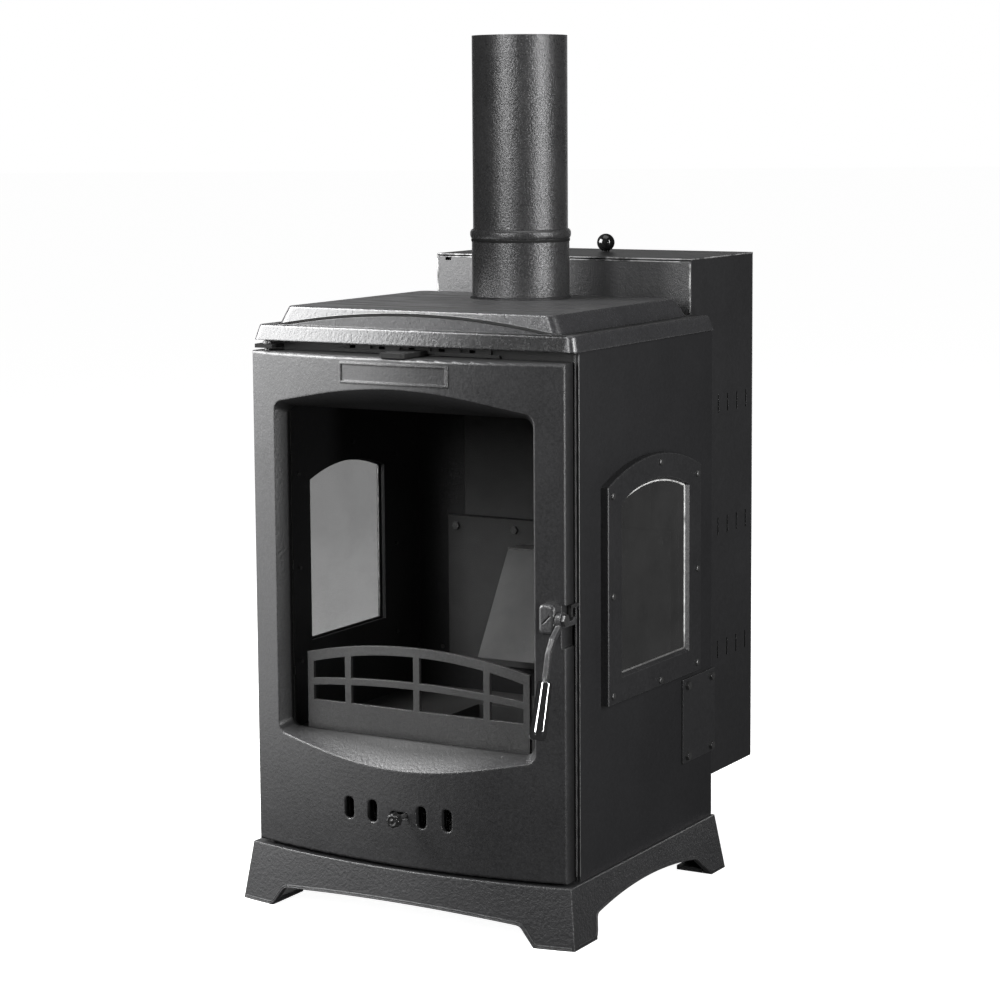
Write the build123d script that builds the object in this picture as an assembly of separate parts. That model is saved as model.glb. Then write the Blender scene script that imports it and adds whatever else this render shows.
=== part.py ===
"""Gravity-fed pellet stove: steel firebox on a cast base, bowed cast door, cast top, flue, rear hopper.

Millimetres, +Z up, the door faces -Y. The firebox is centred on X and Y while the pieces are
made, and the floor is Z 0. At the end everything moves along Y alone, so that the origin is
under the middle of the whole stove.
"""
from build123d import *
import math
import os

# Firebox body
BODY_W = 462.0
BODY_D = 376.0
BODY_H = 659.0
BODY_SHEET = 4.0
BASE_H = 75.0

# Cast base
BASE_TOP_OVERHANG = 5.5
BASE_FRONT_PROUD = 3.0
BASE_FLARE = 10.0
BASE_FLARE_BACK = 13.0
BASE_FLANGE = 40.0
BASE_WALL = 6.0
FOOT_W = 52.5
FOOT_INNER_RUN = 19.0
FOOT_SOLE = 6.0
FOOT_FRONT_D = 60.0
FOOT_FRONT_RUN = 6.0
FOOT_REAR_D = 42.0
FOOT_REAR_RUN = 40.0
ARCH_FRONT_EDGE_Z = 25.0
ARCH_FRONT_MID_Z = 34.0
ARCH_SIDE_EDGE_Z = 30.0
ARCH_SIDE_MID_Z = 43.0

# Cast top
RIM_SIDE_OVERHANG = 5.5
RIM_FRONT_OVERHANG = 19.0
RIM_BACK_INSET = 1.0
RIM_T = 19.5
RIM_LEAN = 5.0
RIM_EDGE_R = 3.0
RIM_CORNER_R = 10.0
FIELD_SIDE_INSET = 39.5
FIELD_FRONT_INSET = 20.0
FIELD_BACK_INSET = 37.0
FIELD_H = 23.5
FIELD_SLOPE_SIDE = 11.0
FIELD_SLOPE_FRONT = 6.0
FIELD_SLOPE_BACK = 13.0
FIELD_CORNER_R = 13.0
FIELD_EDGE_R = 2.5
TOP_WALL = 6.0
STEP_PAST_FIELD = 8.0
STEP_RISE = 19.0
STEP_PROUD = 4.0
STEP_EDGE_R = 3.0
STEP_SUNK = 7.0

# Flue
FLUE_BACK_IN = 108.0
PIPE_LOWER_R = 65.0
PIPE_UPPER_R = 63.2
PIPE_WALL = 1.2
PIPE_LOWER_H = 80.0
PIPE_ABOVE = 346.0
PIPE_INSERT = 35.0
BEAD_H = 9.0
BEAD_PROUD = 3.4
COLLAR_WALL = 5.0
COLLAR_H = 28.0
COLLAR_FLANGE = 9.0
COLLAR_HOLE_GAP = 0.2

# Door
DOOR_SIDE_INSET = 2.6
DOOR_BOTTOM_GAP = 3.6
DOOR_TOP_GAP = 12.7
DOOR_BACK_GAP = 3.0
DOOR_EDGE_T = 28.0
DOOR_BOW = 27.8
DOOR_WALL = 7.0
DOOR_SIDE_WALL = 9.0
DOOR_BACK_CHAMFER = 7.0
DOOR_EDGE_R = 3.0

# Door opening and its glass
OPEN_STILE = 47.9
OPEN_SPLAY = 21.5
OPEN_ABOVE_DOOR_LOW = 154.9
OPEN_BELOW_DOOR_HIGH = 69.3
OPEN_SIDE_FALL = 11.5
OPEN_SIDE_RISE = 13.5
OPEN_ARC_FALL = 21.0
OPEN_ARC_RISE = 18.5
OPEN_CORNER_R = 13.0
GLASS_PLANE_IN = 7.5
SEAT_T = 5.5
GLASS_T = 4.0
GLASS_LAP = 10.0
GASKET_T = 1.5
GASKET_W = 8.0
CLIP_IN = 12.0
CLIP_OUT = 3.0
CLIP_HALF_H = 6.0
CLIP_T = 1.5
CLIP_SCREW_OUT = 3.8
CLIP_SCREW_R = 1.5
CLIP_SCREW_WALL = 3.1
CLIP_HEAD_R = 2.8
CLIP_HEAD_H = 2.0

# Rope seal on the door's back
ROPE_SIDE_MARGIN = 23.4
ROPE_EDGE_MARGIN = 18.4
ROPE_W = 8.0
ROPE_SINK = 4.5
ROPE_GAP = 0.3
RIB_W = 14.0

# Name field, left bare
NAME_W = 157.0
NAME_H = 26.0
NAME_DROP = 20.0
NAME_BORDER = 2.5
NAME_PROUD = 1.5

# Primary air slide on the door
SLOT_W = 15.0
SLOT_H = 29.0
SLOT_PITCH = 36.0
SLOT_Z = 70.5
SLIDE_PAD_T = 7.0
SLIDE_T = 3.0
SLIDE_COVER = 4.0
SLIDE_H = 38.0
RAIL_T = 2.0
RAIL_LAP = 4.0
RAIL_H = 7.0
STUD_R = 3.0
STUD_X = 13.0
STUD_GRIP = 9.0
KNOB_R = 9.5
KNOB_T = 14.0
KNOB_STAND = 18.0
KNOB_POINTS = 8
KNOB_POINT_R = 2.2
KNOB_CORE_IN = 1.6
SLIDE_END_GAP = 2.0
SLOT_CORNER_SHARE = 0.92

# Air wash slide over the door
WASH_T = 3.0
WASH_W = 220.0
WASH_GAP = 2.7
WASH_H = 9.5
TAB_W = 36.0
TAB_T = 6.0
TAB_PROUD = 2.0
TAB_GAP = 0.7
WASH_HOLE_W = 22.0
WASH_HOLE_H = 4.0
WASH_HOLE_PITCH = 44.0
WASH_RAIL_T = 1.7
WASH_RAIL_LAP = 2.0
TAB_CORNER_R = 5.0
CHANNEL_D = 12.0
CHANNEL_T = 2.0
CHANNEL_SIDE_INSET = 51.0
CHANNEL_DROP = 44.0

# Door handle and latch
PIVOT_R = 4.0
PIVOT_PROUD = 10.0
HANDLE_Z = 336.0
LEVER_W = 6.5
LEVER_T = 6.0
LEVER_HUB_R = 9.5
LEVER_BENDS = ((0, 0), (6.5, 9.2), (21.4, 21.0), (31.6, 37.6), (39.2, 64.8))
TANG_R = 3.5
TANG_L = 25.0
GRIP_R = 11.5
GRIP_L = 71.0
GRIP_TILT = 17.0
NOSE_REACH = 34.5
NOSE_T = 6.0
NOSE_DROP = 10.0
TOOTH_W = 8.5
TOOTH_TOP = 0.5
KEEPER_W = 6.0
KEEPER_TOP = 15.0
KEEPER_T = 4.0
KEEPER_LIP_T = 3.5
KEEPER_GAP = 0.5
NUT_W = 13.0
NUT_H = 4.5
BOSS_W = 23.0
BOSS_H = 38.0
BOSS_PROUD = 19.0
BOSS_EDGE_R = 5.0
BOSS_CORNER_R = 7.0
BOSS_SLOT_L = 15.0
BOSS_SLOT_W = 2.0
BOSS_SLOT_DEEP = 1.5
NOTCH_W = 5.0
NOTCH_BELOW = 37.0
NOTCH_ABOVE = 16.0
LEVER_SIDE_GAP = 0.8
BOSS_EDGE_GAP = 0.5
RUN_CLEAR = 0.05
PLAY = 0.3

# Hinge
HINGE_IN_X = 15.4
HINGE_IN_Y = 13.0
HINGE_BOSS_R = 8.0
HINGE_PIN_GRIP = 20.0
HINGE_PIN_END = 1.0
BRACKET_TOP_GAP = 3.2
BRACKET_TOP_T = 5.0
BRACKET_TOP_W = 26.0
BRACKET_TOP_REACH = 28.0
PIN_HEAD_R = 6.0
PIN_HEAD_H = 3.0
PIN_SINK = 5.0
WASHER_R = 7.0

# Side windows
WIN_HALF = 92.5
WIN_LOW = 246.0
WIN_SPRING = 463.0
WIN_RISE = 16.5
WIN_BAND = 39.5
WIN_BAND_LOW = 35.0
WIN_ARC_BAND = 23.0
WIN_ARC_RISE = 28.0
WIN_T = 11.0
WIN_GLASS_T = 4.0
WIN_SCREW_INSET = 11.5
WIN_MID_SCREW_Y = 12.0
WIN_LAP = 8.5
WIN_SEAT_CLEAR = 0.5
WIN_BEVEL = 4.0
SCREW_DEPTH = 3.0
SCREW_R = 2.6
SCREW_HEAD_R = 4.5
SCREW_HEAD_H = 2.5

# Firebox inside
FLOOR_Z = 130.0
FLOOR_T = 6.0
FIRE_OPEN_STILE = 39.0
FIRE_OPEN_LOW = 147.0
FIRE_OPEN_TOP_BAR = 40.0
ASH_OPEN_LOW = 29.0
ASH_OPEN_HIGH = 121.0
POT_HALF = 75.0
POT_BACK_IN = 174.0
POT_DEEP = 51.0
POT_WALL = 6.0
POT_FLANGE = 9.0
POT_PLAY = 1.0
POT_SLOT_W = 6.0
POT_SLOT_PITCH = 24.0
POT_SLOT_COUNT = 5
POT_SLOT_END = 10.0
PAN_SIDE_CLEAR = 42.0
PAN_H = 50.0
PAN_FRONT_CLEAR = 14.0
PAN_BACK_CLEAR = 34.0
PAN_REST_W = 30.0
PAN_REST_LIFT = 1.0
PAN_SHEET = 1.5
BAFFLE_T = 8.0
BAFFLE_BACK_DROP = 99.0
BAFFLE_FRONT_DROP = 47.0
BAFFLE_FRONT_IN = 98.0
BAFFLE_SIDE_GAP = 1.0
BAFFLE_REST_W = 12.0
LINER_T = 8.0
LINER_SIDE_INSET = 85.0
LINER_LOW = 387.0
LINER_TOP_GAP = 9.0
CHUTE_PLATE_T = 6.0
CHUTE_PLATE_SIDE_INSET = 56.0
CHUTE_PLATE_LOW = 175.0
CHUTE_BOLT_DROP = 14.0
CHUTE_BOLT_IN = 14.0
CHUTE_BOLT_MID = 67.0
CHUTE_PLATE_HIGH = 384.0
RETAINER_SIDE_GAP = 15.5
RETAINER_GAP = 3.0
RETAINER_SHOULDER = 3.0
RETAINER_T = 5.0
RETAINER_LOW = 139.0
RETAINER_END_H = 116.0
RETAINER_RISE = 19.0
RETAINER_BAR = 9.0
RETAINER_BAY_SHARE = 0.6242
RETAINER_PLATE_H = 54.0
RETAINER_MID_H = 72.0
RETAINER_MID_RISE = 9.0
RETAINER_LUG_W = 20.0
RETAINER_LUG_IN = 45.0

# Feed chute
CHUTE_HALF = 60.0
CHUTE_SHEET = 3.0
CHUTE_TOP_Z = 349.0
CHUTE_BACK_LOW_Z = 295.0
CHUTE_MOUTH_Z = 211.0
CHUTE_SHELF = 37.0
CHUTE_REACH = 123.0
CHUTE_MOUTH = 54.0
CHUTE_CLEAR = 0.5

# Hopper
HOPPER_SIDE_INSET = 33.4
HOPPER_D = 197.8
HOPPER_LOW = 111.0
HOPPER_ABOVE_TOP = 50.0
HOPPER_SHEET = 1.5
COVER_T = 2.0
COVER_GAP = 1.5
LID_SIDE_INSET = 60.6
LID_D = 121.0
LID_IN = 73.0
LID_T = 1.5
LID_CLEAR = 0.5
LEDGE_LAP = 7.0
LEDGE_OUT = 13.0
LID_KNOB_R = 12.5
KNOB_NECK_R = 5.0
VENT_HOLE_R = 2.5
VENT_SIDE_IN = 39.6
VENT_IN = 36.0
PANEL_NOTCH_IN = 18.6
PANEL_NOTCH_W = 9.0
PANEL_NOTCH_H = 6.0
CORNER_GAP_DROP = 54.0
CORNER_GAP_H = 10.0
CORNER_GAP_W = 3.0
BIN_SIDE_GAP = 47.6
BIN_SHEET = 2.0
BIN_TURN_Z = 560.0
BIN_OUT_HALF = 57.0
BIN_OUT_D = 62.0
BIN_FRONT_GAP = 9.0
BIN_BACK_GAP = 8.8
BIN_LOW_Z = 297.0
LOUVRE_W = 3.0
LOUVRE_H = 24.5
LOUVRE_PITCH = 29.8
LOUVRE_FIRST = 87.0
LOUVRE_COUNT = 4
LOUVRE_ROWS = (171.5, 344.0, 513.5)

# Corner brackets
BRACKET_T = 3.0
BRACKET_LEG = 96.0
BRACKET_BACK_LEG = 50.0
BRACKET_LOW = 164.0
BRACKET_H = 113.0
BRACKET_INSET = 9.0
BRACKET_END_INSET = 12.0
BOLT_R = 3.0
BOLT_HEAD_R = 5.5
BOLT_HEAD_H = 4.5

# Derived places
BODY_X = BODY_W / 2
BODY_Y = BODY_D / 2
BODY_TOP = BASE_H + BODY_H
IN_X = BODY_X - BODY_SHEET
IN_Y = BODY_Y - BODY_SHEET
DOOR_X = BODY_X - DOOR_SIDE_INSET
DOOR_LOW = BASE_H + DOOR_BOTTOM_GAP
DOOR_HIGH = BODY_TOP - DOOR_TOP_GAP
DOOR_H = DOOR_HIGH - DOOR_LOW
DOOR_BACK = -BODY_Y - DOOR_BACK_GAP
DOOR_EDGE = DOOR_BACK - DOOR_EDGE_T
DOOR_FRONT = DOOR_EDGE - DOOR_BOW
GLASS_PLANE = DOOR_EDGE + GLASS_PLANE_IN
SEAT_BACK = GLASS_PLANE + SEAT_T
GLASS_FRONT = SEAT_BACK + GASKET_T
GLASS_BACK = GLASS_FRONT + GLASS_T
OPEN_HALF_BACK = DOOR_X - OPEN_STILE
OPEN_HALF_FRONT = OPEN_HALF_BACK + OPEN_SPLAY
OPEN_LOW = DOOR_LOW + OPEN_ABOVE_DOOR_LOW
OPEN_HIGH = DOOR_HIGH - OPEN_BELOW_DOOR_HIGH
ROPE_HALF_W = DOOR_X - ROPE_SIDE_MARGIN
HINGE_X = -DOOR_X + HINGE_IN_X
HINGE_Y = DOOR_EDGE + HINGE_IN_Y
RIM_HALF = BODY_X + RIM_SIDE_OVERHANG
RIM_FRONT = -BODY_Y - RIM_FRONT_OVERHANG
RIM_BACK = BODY_Y - RIM_BACK_INSET
RIM_TOP = BODY_TOP + RIM_T
FIELD_HALF = RIM_HALF - FIELD_SIDE_INSET
FIELD_TOP = RIM_TOP + FIELD_H
FIELD_FRONT = RIM_FRONT + FIELD_FRONT_INSET
FIELD_BACK = RIM_BACK - FIELD_BACK_INSET
STEP_HALF_W = FIELD_HALF + STEP_PAST_FIELD
FLUE_Y = BODY_Y - FLUE_BACK_IN
PIPE_TOP_Z = FIELD_TOP + PIPE_ABOVE
FLOOR_LOW = BASE_H + FLOOR_Z
FLOOR_TOP = FLOOR_LOW + FLOOR_T
FIRE_OPEN_HALF = BODY_X - FIRE_OPEN_STILE
FIRE_OPEN_HIGH = BODY_H - FIRE_OPEN_TOP_BAR
POT_Y = IN_Y - POT_BACK_IN
PAN_HALF = FIRE_OPEN_HALF - PAN_SIDE_CLEAR
BAFFLE_BACK_Z = BODY_H - BAFFLE_BACK_DROP
BAFFLE_FRONT_Z = BODY_H - BAFFLE_FRONT_DROP
BAFFLE_FRONT_Y = -BODY_Y + BAFFLE_FRONT_IN
LINER_HALF = BODY_X - LINER_SIDE_INSET
LINER_HIGH = BAFFLE_BACK_Z - LINER_TOP_GAP
CHUTE_PLATE_HALF = BODY_X - CHUTE_PLATE_SIDE_INSET
CHANNEL_HALF = BODY_X - CHANNEL_SIDE_INSET
RETAINER_HALF = OPEN_HALF_BACK - RETAINER_SIDE_GAP
RETAINER_BAY = RETAINER_HALF * RETAINER_BAY_SHARE
RETAINER_LUG_X = RETAINER_HALF - RETAINER_LUG_IN
SLOT_MID = BASE_H + SLOT_Z
PAD_BACK = DOOR_FRONT + DOOR_WALL + SLIDE_PAD_T
SLIDE_TRAVEL = SLOT_PITCH / 2
SLIDE_LEFT = -2 * SLOT_PITCH - SLOT_W / 2 - SLIDE_COVER
SLIDE_RIGHT = -SLIDE_LEFT + SLIDE_TRAVEL
PIVOT_Y = DOOR_EDGE - PIVOT_PROUD
PIVOT_Z = BASE_H + HANDLE_Z
NOTCH_X = DOOR_X - NOTCH_W
LEVER_LEFT = NOTCH_X + LEVER_SIDE_GAP
LEVER_RIGHT = LEVER_LEFT + LEVER_W
BOSS_RIGHT = NOTCH_X - BOSS_EDGE_GAP
HOP_FRONT = BODY_Y + BRACKET_T
HOP_BACK = HOP_FRONT + HOPPER_D
HOP_X = BODY_X - HOPPER_SIDE_INSET
HOPPER_TOP = FIELD_TOP + HOPPER_ABOVE_TOP
COVER_LOW = HOPPER_TOP - COVER_T
BIN_HALF = HOP_X - BIN_SIDE_GAP
LID_W = 2 * (HOP_X - LID_SIDE_INSET)
VENT_X = HOP_X - VENT_SIDE_IN
PANEL_NOTCH_X = HOP_X - PANEL_NOTCH_IN
LID_FRONT = HOP_FRONT + LID_IN
LID_MID_Y = LID_FRONT + LID_D / 2
CHUTE_TOP = BASE_H + CHUTE_TOP_Z
CHUTE_BACK_LOW = BASE_H + CHUTE_BACK_LOW_Z
CHUTE_MOUTH_LOW = BASE_H + CHUTE_MOUTH_Z
WASH_LOW = DOOR_HIGH + WASH_GAP
WASH_MID = WASH_LOW + WASH_H / 2
WASH_TRAVEL = WASH_HOLE_PITCH / 4


def block(x0, x1, y0, y1, z0, z1):
    """A box between two corners."""
    size = (x1 - x0, y1 - y0, z1 - z0)
    centre = ((x0 + x1) / 2, (y0 + y1) / 2, (z0 + z1) / 2)
    return Pos(*centre) * Box(*size)


def rod_x(radius, x0, x1, y, z):
    """A round bar along X."""
    return Pos((x0 + x1) / 2, y, z) * Rot(0, 90, 0) * Cylinder(radius, x1 - x0)


def rod_y(radius, y0, y1, x, z):
    """A round bar along Y."""
    return Pos(x, (y0 + y1) / 2, z) * Rot(90, 0, 0) * Cylinder(radius, y1 - y0)


def rod_z(radius, z0, z1, x, y):
    """A round bar along Z."""
    return Pos(x, y, (z0 + z1) / 2) * Cylinder(radius, z1 - z0)


def one(shape):
    """The solids of a shape as one compound."""
    return Compound(children=list(shape.solids()))


def group(shapes):
    """Like pieces that share one node, each its own solid."""
    return Compound(children=[solid for shape in shapes for solid in shape.solids()])


def yz_prism(points, x0, x1):
    """A polygon of (y, z) points carried along X."""
    face = make_face(Polyline(*points, close=True))
    return Pos(x0, 0, 0) * extrude(Plane.YZ * face, amount=x1 - x0)


def arched(half, low, spring, rise):
    """A flat outline with straight sides and an arc on top."""
    sides = Polyline((-half, spring), (-half, low), (half, low), (half, spring))
    crown = ThreePointArc((half, spring), (0, spring + rise), (-half, spring))
    return make_face(sides + crown)


def bowed_plan(half, back, edge, crown):
    """Plan outline with a straight back and a bowed front."""
    sides = Polyline((half, edge), (half, back), (-half, back), (-half, edge))
    front = ThreePointArc((-half, edge), (0, crown), (half, edge))
    return make_face(sides + front)


def xz_prism(face, y0, y1):
    """A face drawn in (x, z) carried along Y."""
    return Pos(0, y1, 0) * extrude(Plane.XZ * face, amount=y1 - y0)


def yz_face_prism(face, x0, x1):
    """A face drawn in (y, z) carried along X."""
    return Pos(x0, 0, 0) * extrude(Plane.YZ * face, amount=x1 - x0)


def mirrored(shape):
    """The same shape on the other side."""
    return mirror(shape, about=Plane.YZ)


def skirt(inset, top):
    """The base's flared bowed block, drawn in by an inset on every side."""
    half = BODY_X + BASE_TOP_OVERHANG - inset
    back = BODY_Y - RIM_BACK_INSET - inset
    edge = DOOR_EDGE - BASE_FRONT_PROUD + inset
    crown = DOOR_FRONT - BASE_FRONT_PROUD + inset
    low = bowed_plan(half + BASE_FLARE, back + BASE_FLARE_BACK, edge - BASE_FLARE, crown - BASE_FLARE)
    high = bowed_plan(half, back, edge, crown)
    return loft([low, Pos(0, 0, top) * high])


def arch_outline(start, start_run, end, end_run, edge_z, mid_z):
    """The open shape between two feet: sloping legs and a shallow arc."""
    left = (start + start_run, edge_z)
    right = (end - end_run, edge_z)
    legs = Polyline(right, (end, 0), (end, -10), (start, -10), (start, 0), left)
    crown = ThreePointArc(left, ((left[0] + right[0]) / 2, mid_z), right)
    return make_face(legs + crown)


def base_plinth():
    """Cast base on four splayed feet, with a top flange and arches between the feet."""
    foot_x = BODY_X + BASE_TOP_OVERHANG + BASE_FLARE - FOOT_W
    front = DOOR_EDGE - BASE_FRONT_PROUD - BASE_FLARE
    back = BODY_Y - RIM_BACK_INSET + BASE_FLARE_BACK
    outer = skirt(0, BASE_H)
    base = outer - skirt(BASE_WALL, BASE_H - BASE_WALL)
    flange_x = BODY_X + BASE_TOP_OVERHANG - BASE_FLANGE
    base -= block(-flange_x, flange_x, DOOR_EDGE + BASE_FLANGE, BODY_Y - BASE_FLANGE, 0, BASE_H)
    reach = 2 * BODY_W
    for side in (-1, 1):
        near = block(foot_x, reach, -reach, front + FOOT_FRONT_D, 0, FOOT_SOLE)
        far = block(foot_x, reach, back - FOOT_REAR_D, reach, 0, FOOT_SOLE)
        for sole in (near, far):
            base += outer & (sole if side > 0 else mirrored(sole))
    front_arch = arch_outline(-foot_x, FOOT_INNER_RUN, foot_x, FOOT_INNER_RUN,
                              ARCH_FRONT_EDGE_Z, ARCH_FRONT_MID_Z)
    side_arch = arch_outline(front + FOOT_FRONT_D, FOOT_FRONT_RUN, back - FOOT_REAR_D, FOOT_REAR_RUN,
                             ARCH_SIDE_EDGE_Z, ARCH_SIDE_MID_Z)
    base -= xz_prism(front_arch, -reach, reach)
    base -= yz_face_prism(side_arch, -reach, reach)
    base -= rod_z(PIVOT_R, BASE_H - BASE_WALL - 1, BASE_H + 1, HINGE_X, HINGE_Y)
    return base


def body_bottom_plate():
    """Sheet floor of the body between the side panels."""
    return block(-IN_X, IN_X, -IN_Y, IN_Y, BASE_H, BASE_H + BODY_SHEET)


def window_outline(grow):
    """Window opening drawn in (y, z), grown by a margin."""
    low = BASE_H + WIN_LOW - grow
    return arched(WIN_HALF + grow, low, BASE_H + WIN_SPRING, WIN_RISE + grow)


def side_panel():
    """Right side panel with its window opening and bracket bolt holes."""
    panel = block(IN_X, BODY_X, -BODY_Y, BODY_Y, BASE_H, BODY_TOP)
    panel -= yz_face_prism(window_outline(0), IN_X - 1, BODY_X + 1)
    for y, z in window_screw_places():
        panel -= rod_x(SCREW_R, IN_X - 1, BODY_X + 1, y, z)
    for y, z in bracket_bolt_places():
        panel -= rod_x(BOLT_R, IN_X - 1, BODY_X + 1, y, z)
    return panel


def rear_panel():
    """Sheet back of the body with the chute opening."""
    panel = block(-IN_X, IN_X, IN_Y, BODY_Y, BASE_H, BODY_TOP)
    panel -= chute_opening(IN_Y - 1, BODY_Y + 1)
    for x, z in rear_bolt_places():
        panel -= rod_y(BOLT_R, IN_Y - 1, BODY_Y + 1, x, z)
    return panel


def front_frame():
    """Front plate with the fire opening, the ash opening and the air holes above the door."""
    plate = block(-IN_X, IN_X, -BODY_Y, -IN_Y, BASE_H, BODY_TOP)
    plate -= block(-FIRE_OPEN_HALF, FIRE_OPEN_HALF, -BODY_Y - 1, -IN_Y + 1,
                   BASE_H + ASH_OPEN_LOW, BASE_H + ASH_OPEN_HIGH)
    plate -= block(-FIRE_OPEN_HALF, FIRE_OPEN_HALF, -BODY_Y - 1, -IN_Y + 1,
                   BASE_H + FIRE_OPEN_LOW, BASE_H + FIRE_OPEN_HIGH)
    for x in wash_hole_places():
        plate -= block(x - WASH_HOLE_W / 2, x + WASH_HOLE_W / 2, -BODY_Y - 1, -IN_Y + 1,
                       WASH_MID - WASH_HOLE_H / 2, WASH_MID + WASH_HOLE_H / 2)
    return plate


def level_plate(half, front, back, corner, z):
    """A level rectangle with rounded corners, as the section of a loft."""
    face = fillet(Rectangle(2 * half, back - front).vertices(), corner)
    return Pos(0, (front + back) / 2, z) * face


def field_loft(inset, low, high):
    """The raised field of the top: a low frustum, drawn in by an inset."""
    corner = FIELD_CORNER_R - inset
    base = level_plate(FIELD_HALF + FIELD_SLOPE_SIDE - inset, FIELD_FRONT - FIELD_SLOPE_FRONT + inset,
                       FIELD_BACK + FIELD_SLOPE_BACK - inset, corner, low)
    upper = level_plate(FIELD_HALF - inset, FIELD_FRONT + inset, FIELD_BACK - inset, corner, high)
    return loft([base, upper])


def top_step():
    """The arched step over the door, with a rounded upper edge."""
    front = FIELD_FRONT - FIELD_SLOPE_FRONT - STEP_PROUD
    low = RIM_TOP - STEP_SUNK
    foot = Polyline((STEP_HALF_W, RIM_TOP), (STEP_HALF_W, low), (-STEP_HALF_W, low), (-STEP_HALF_W, RIM_TOP))
    arch = ThreePointArc((-STEP_HALF_W, RIM_TOP), (0, RIM_TOP + STEP_RISE), (STEP_HALF_W, RIM_TOP))
    step = xz_prism(make_face(foot + arch), front, FIELD_FRONT)
    crown = step.edges().filter_by(GeomType.CIRCLE).sort_by(Axis.Y)[0]
    return fillet(crown, STEP_EDGE_R)


def top_plate():
    """Cast top: a leaning rounded rim, a raised hollow field and an arched step on the front slope."""
    rim = loft([level_plate(RIM_HALF, RIM_FRONT, RIM_BACK, RIM_CORNER_R, BODY_TOP),
                level_plate(RIM_HALF - RIM_LEAN, RIM_FRONT + RIM_LEAN, RIM_BACK - RIM_LEAN,
                            RIM_CORNER_R, RIM_TOP)])
    rim = fillet(rim.edges().group_by(Axis.Z)[-1], RIM_EDGE_R)
    field = field_loft(0, RIM_TOP, FIELD_TOP)
    field = fillet(field.edges().group_by(Axis.Z)[-1], FIELD_EDGE_R)
    plate = rim + field + top_step()
    seat = 3 * BODY_SHEET
    plate -= block(-BODY_X + seat, BODY_X - seat, -BODY_Y + seat, BODY_Y - seat,
                   BODY_TOP - 1, RIM_TOP - TOP_WALL)
    plate -= field_loft(TOP_WALL, RIM_TOP - TOP_WALL, FIELD_TOP - TOP_WALL)
    return plate - rod_z(PIPE_UPPER_R + COLLAR_HOLE_GAP, BODY_TOP, FIELD_TOP + 1, 0, FLUE_Y)


def flue_collar():
    """Cast collar through the top, held by a flange under it."""
    under = FIELD_TOP - TOP_WALL
    collar = rod_z(PIPE_UPPER_R, under, FIELD_TOP + COLLAR_H, 0, FLUE_Y)
    wide = PIPE_UPPER_R + COLLAR_FLANGE
    flange = rod_z(wide, under - COLLAR_WALL, under, 0, FLUE_Y)
    collar += flange - block(-wide, wide, FIELD_BACK - TOP_WALL - PLAY, FIELD_BACK + wide,
                             BODY_TOP, FIELD_TOP)
    return collar - rod_z(PIPE_UPPER_R - COLLAR_WALL, BODY_TOP, FIELD_TOP + COLLAR_H + 1, 0, FLUE_Y)


def flue_pipe_lower():
    """Short wide pipe that stands on the top around the collar."""
    pipe = rod_z(PIPE_LOWER_R, FIELD_TOP, FIELD_TOP + PIPE_LOWER_H, 0, FLUE_Y)
    return pipe - rod_z(PIPE_LOWER_R - PIPE_WALL, FIELD_TOP - 1, FIELD_TOP + PIPE_LOWER_H + 1, 0, FLUE_Y)


def flue_pipe_upper():
    """Long pipe pushed into the lower one down to its bead."""
    seat = FIELD_TOP + PIPE_LOWER_H
    pipe = rod_z(PIPE_UPPER_R, seat - PIPE_INSERT, PIPE_TOP_Z, 0, FLUE_Y)
    bead = rod_z(PIPE_UPPER_R + BEAD_PROUD, seat, seat + BEAD_H, 0, FLUE_Y)
    pipe += fillet(bead.edges().filter_by(GeomType.CIRCLE), BEAD_H * 0.45)
    return pipe - rod_z(PIPE_UPPER_R - PIPE_WALL, seat - PIPE_INSERT - 1, PIPE_TOP_Z + 1, 0, FLUE_Y)


def opening(half, low, high, fall, rise, corner):
    """The door's opening in (x, z) with arcs above and below and rounded corners."""
    if rise > 0:
        top = ThreePointArc((-half, high), (0, high + rise), (half, high))
        sill = ThreePointArc((half, low), (0, low - fall), (-half, low))
    else:
        top = Line((-half, high), (half, high))
        sill = Line((half, low), (-half, low))
    sides = Line((half, high), (half, low)) + Line((-half, low), (-half, high))
    face = make_face(top + sill + sides)
    return fillet(face.vertices(), corner)


def opening_loft(grow, front_y, back_y):
    """The splayed opening between two planes, grown by a wall."""
    front = opening(OPEN_HALF_FRONT + grow, OPEN_LOW - OPEN_SIDE_FALL - grow,
                    OPEN_HIGH + OPEN_SIDE_RISE + grow, OPEN_ARC_FALL, OPEN_ARC_RISE, OPEN_CORNER_R)
    back = opening(OPEN_HALF_BACK + grow, OPEN_LOW - grow, OPEN_HIGH + grow, 0, 0, OPEN_CORNER_R)
    return loft([Pos(0, front_y, 0) * (Plane.XZ * front), Pos(0, back_y, 0) * (Plane.XZ * back)])


def door_block(proud=0.0):
    """The door's outer block: bowed front and bevelled back edges."""
    plan = bowed_plan(DOOR_X, DOOR_BACK, DOOR_EDGE - proud, DOOR_FRONT - proud)
    body = Pos(0, 0, DOOR_LOW) * extrude(plan, amount=DOOR_H)
    for side in (-1, 1):
        corner = ((side * DOOR_X, DOOR_BACK - DOOR_BACK_CHAMFER), (side * DOOR_X, DOOR_BACK),
                  (side * (DOOR_X - DOOR_BACK_CHAMFER), DOOR_BACK))
        wedge = extrude(make_face(Polyline(*corner, close=True)), amount=DOOR_H)
        body -= Pos(0, 0, DOOR_LOW) * wedge
    return body


def slot_places():
    """X of the four air slots."""
    return [step * SLOT_PITCH for step in (-2, -1, 1, 2)]


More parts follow.
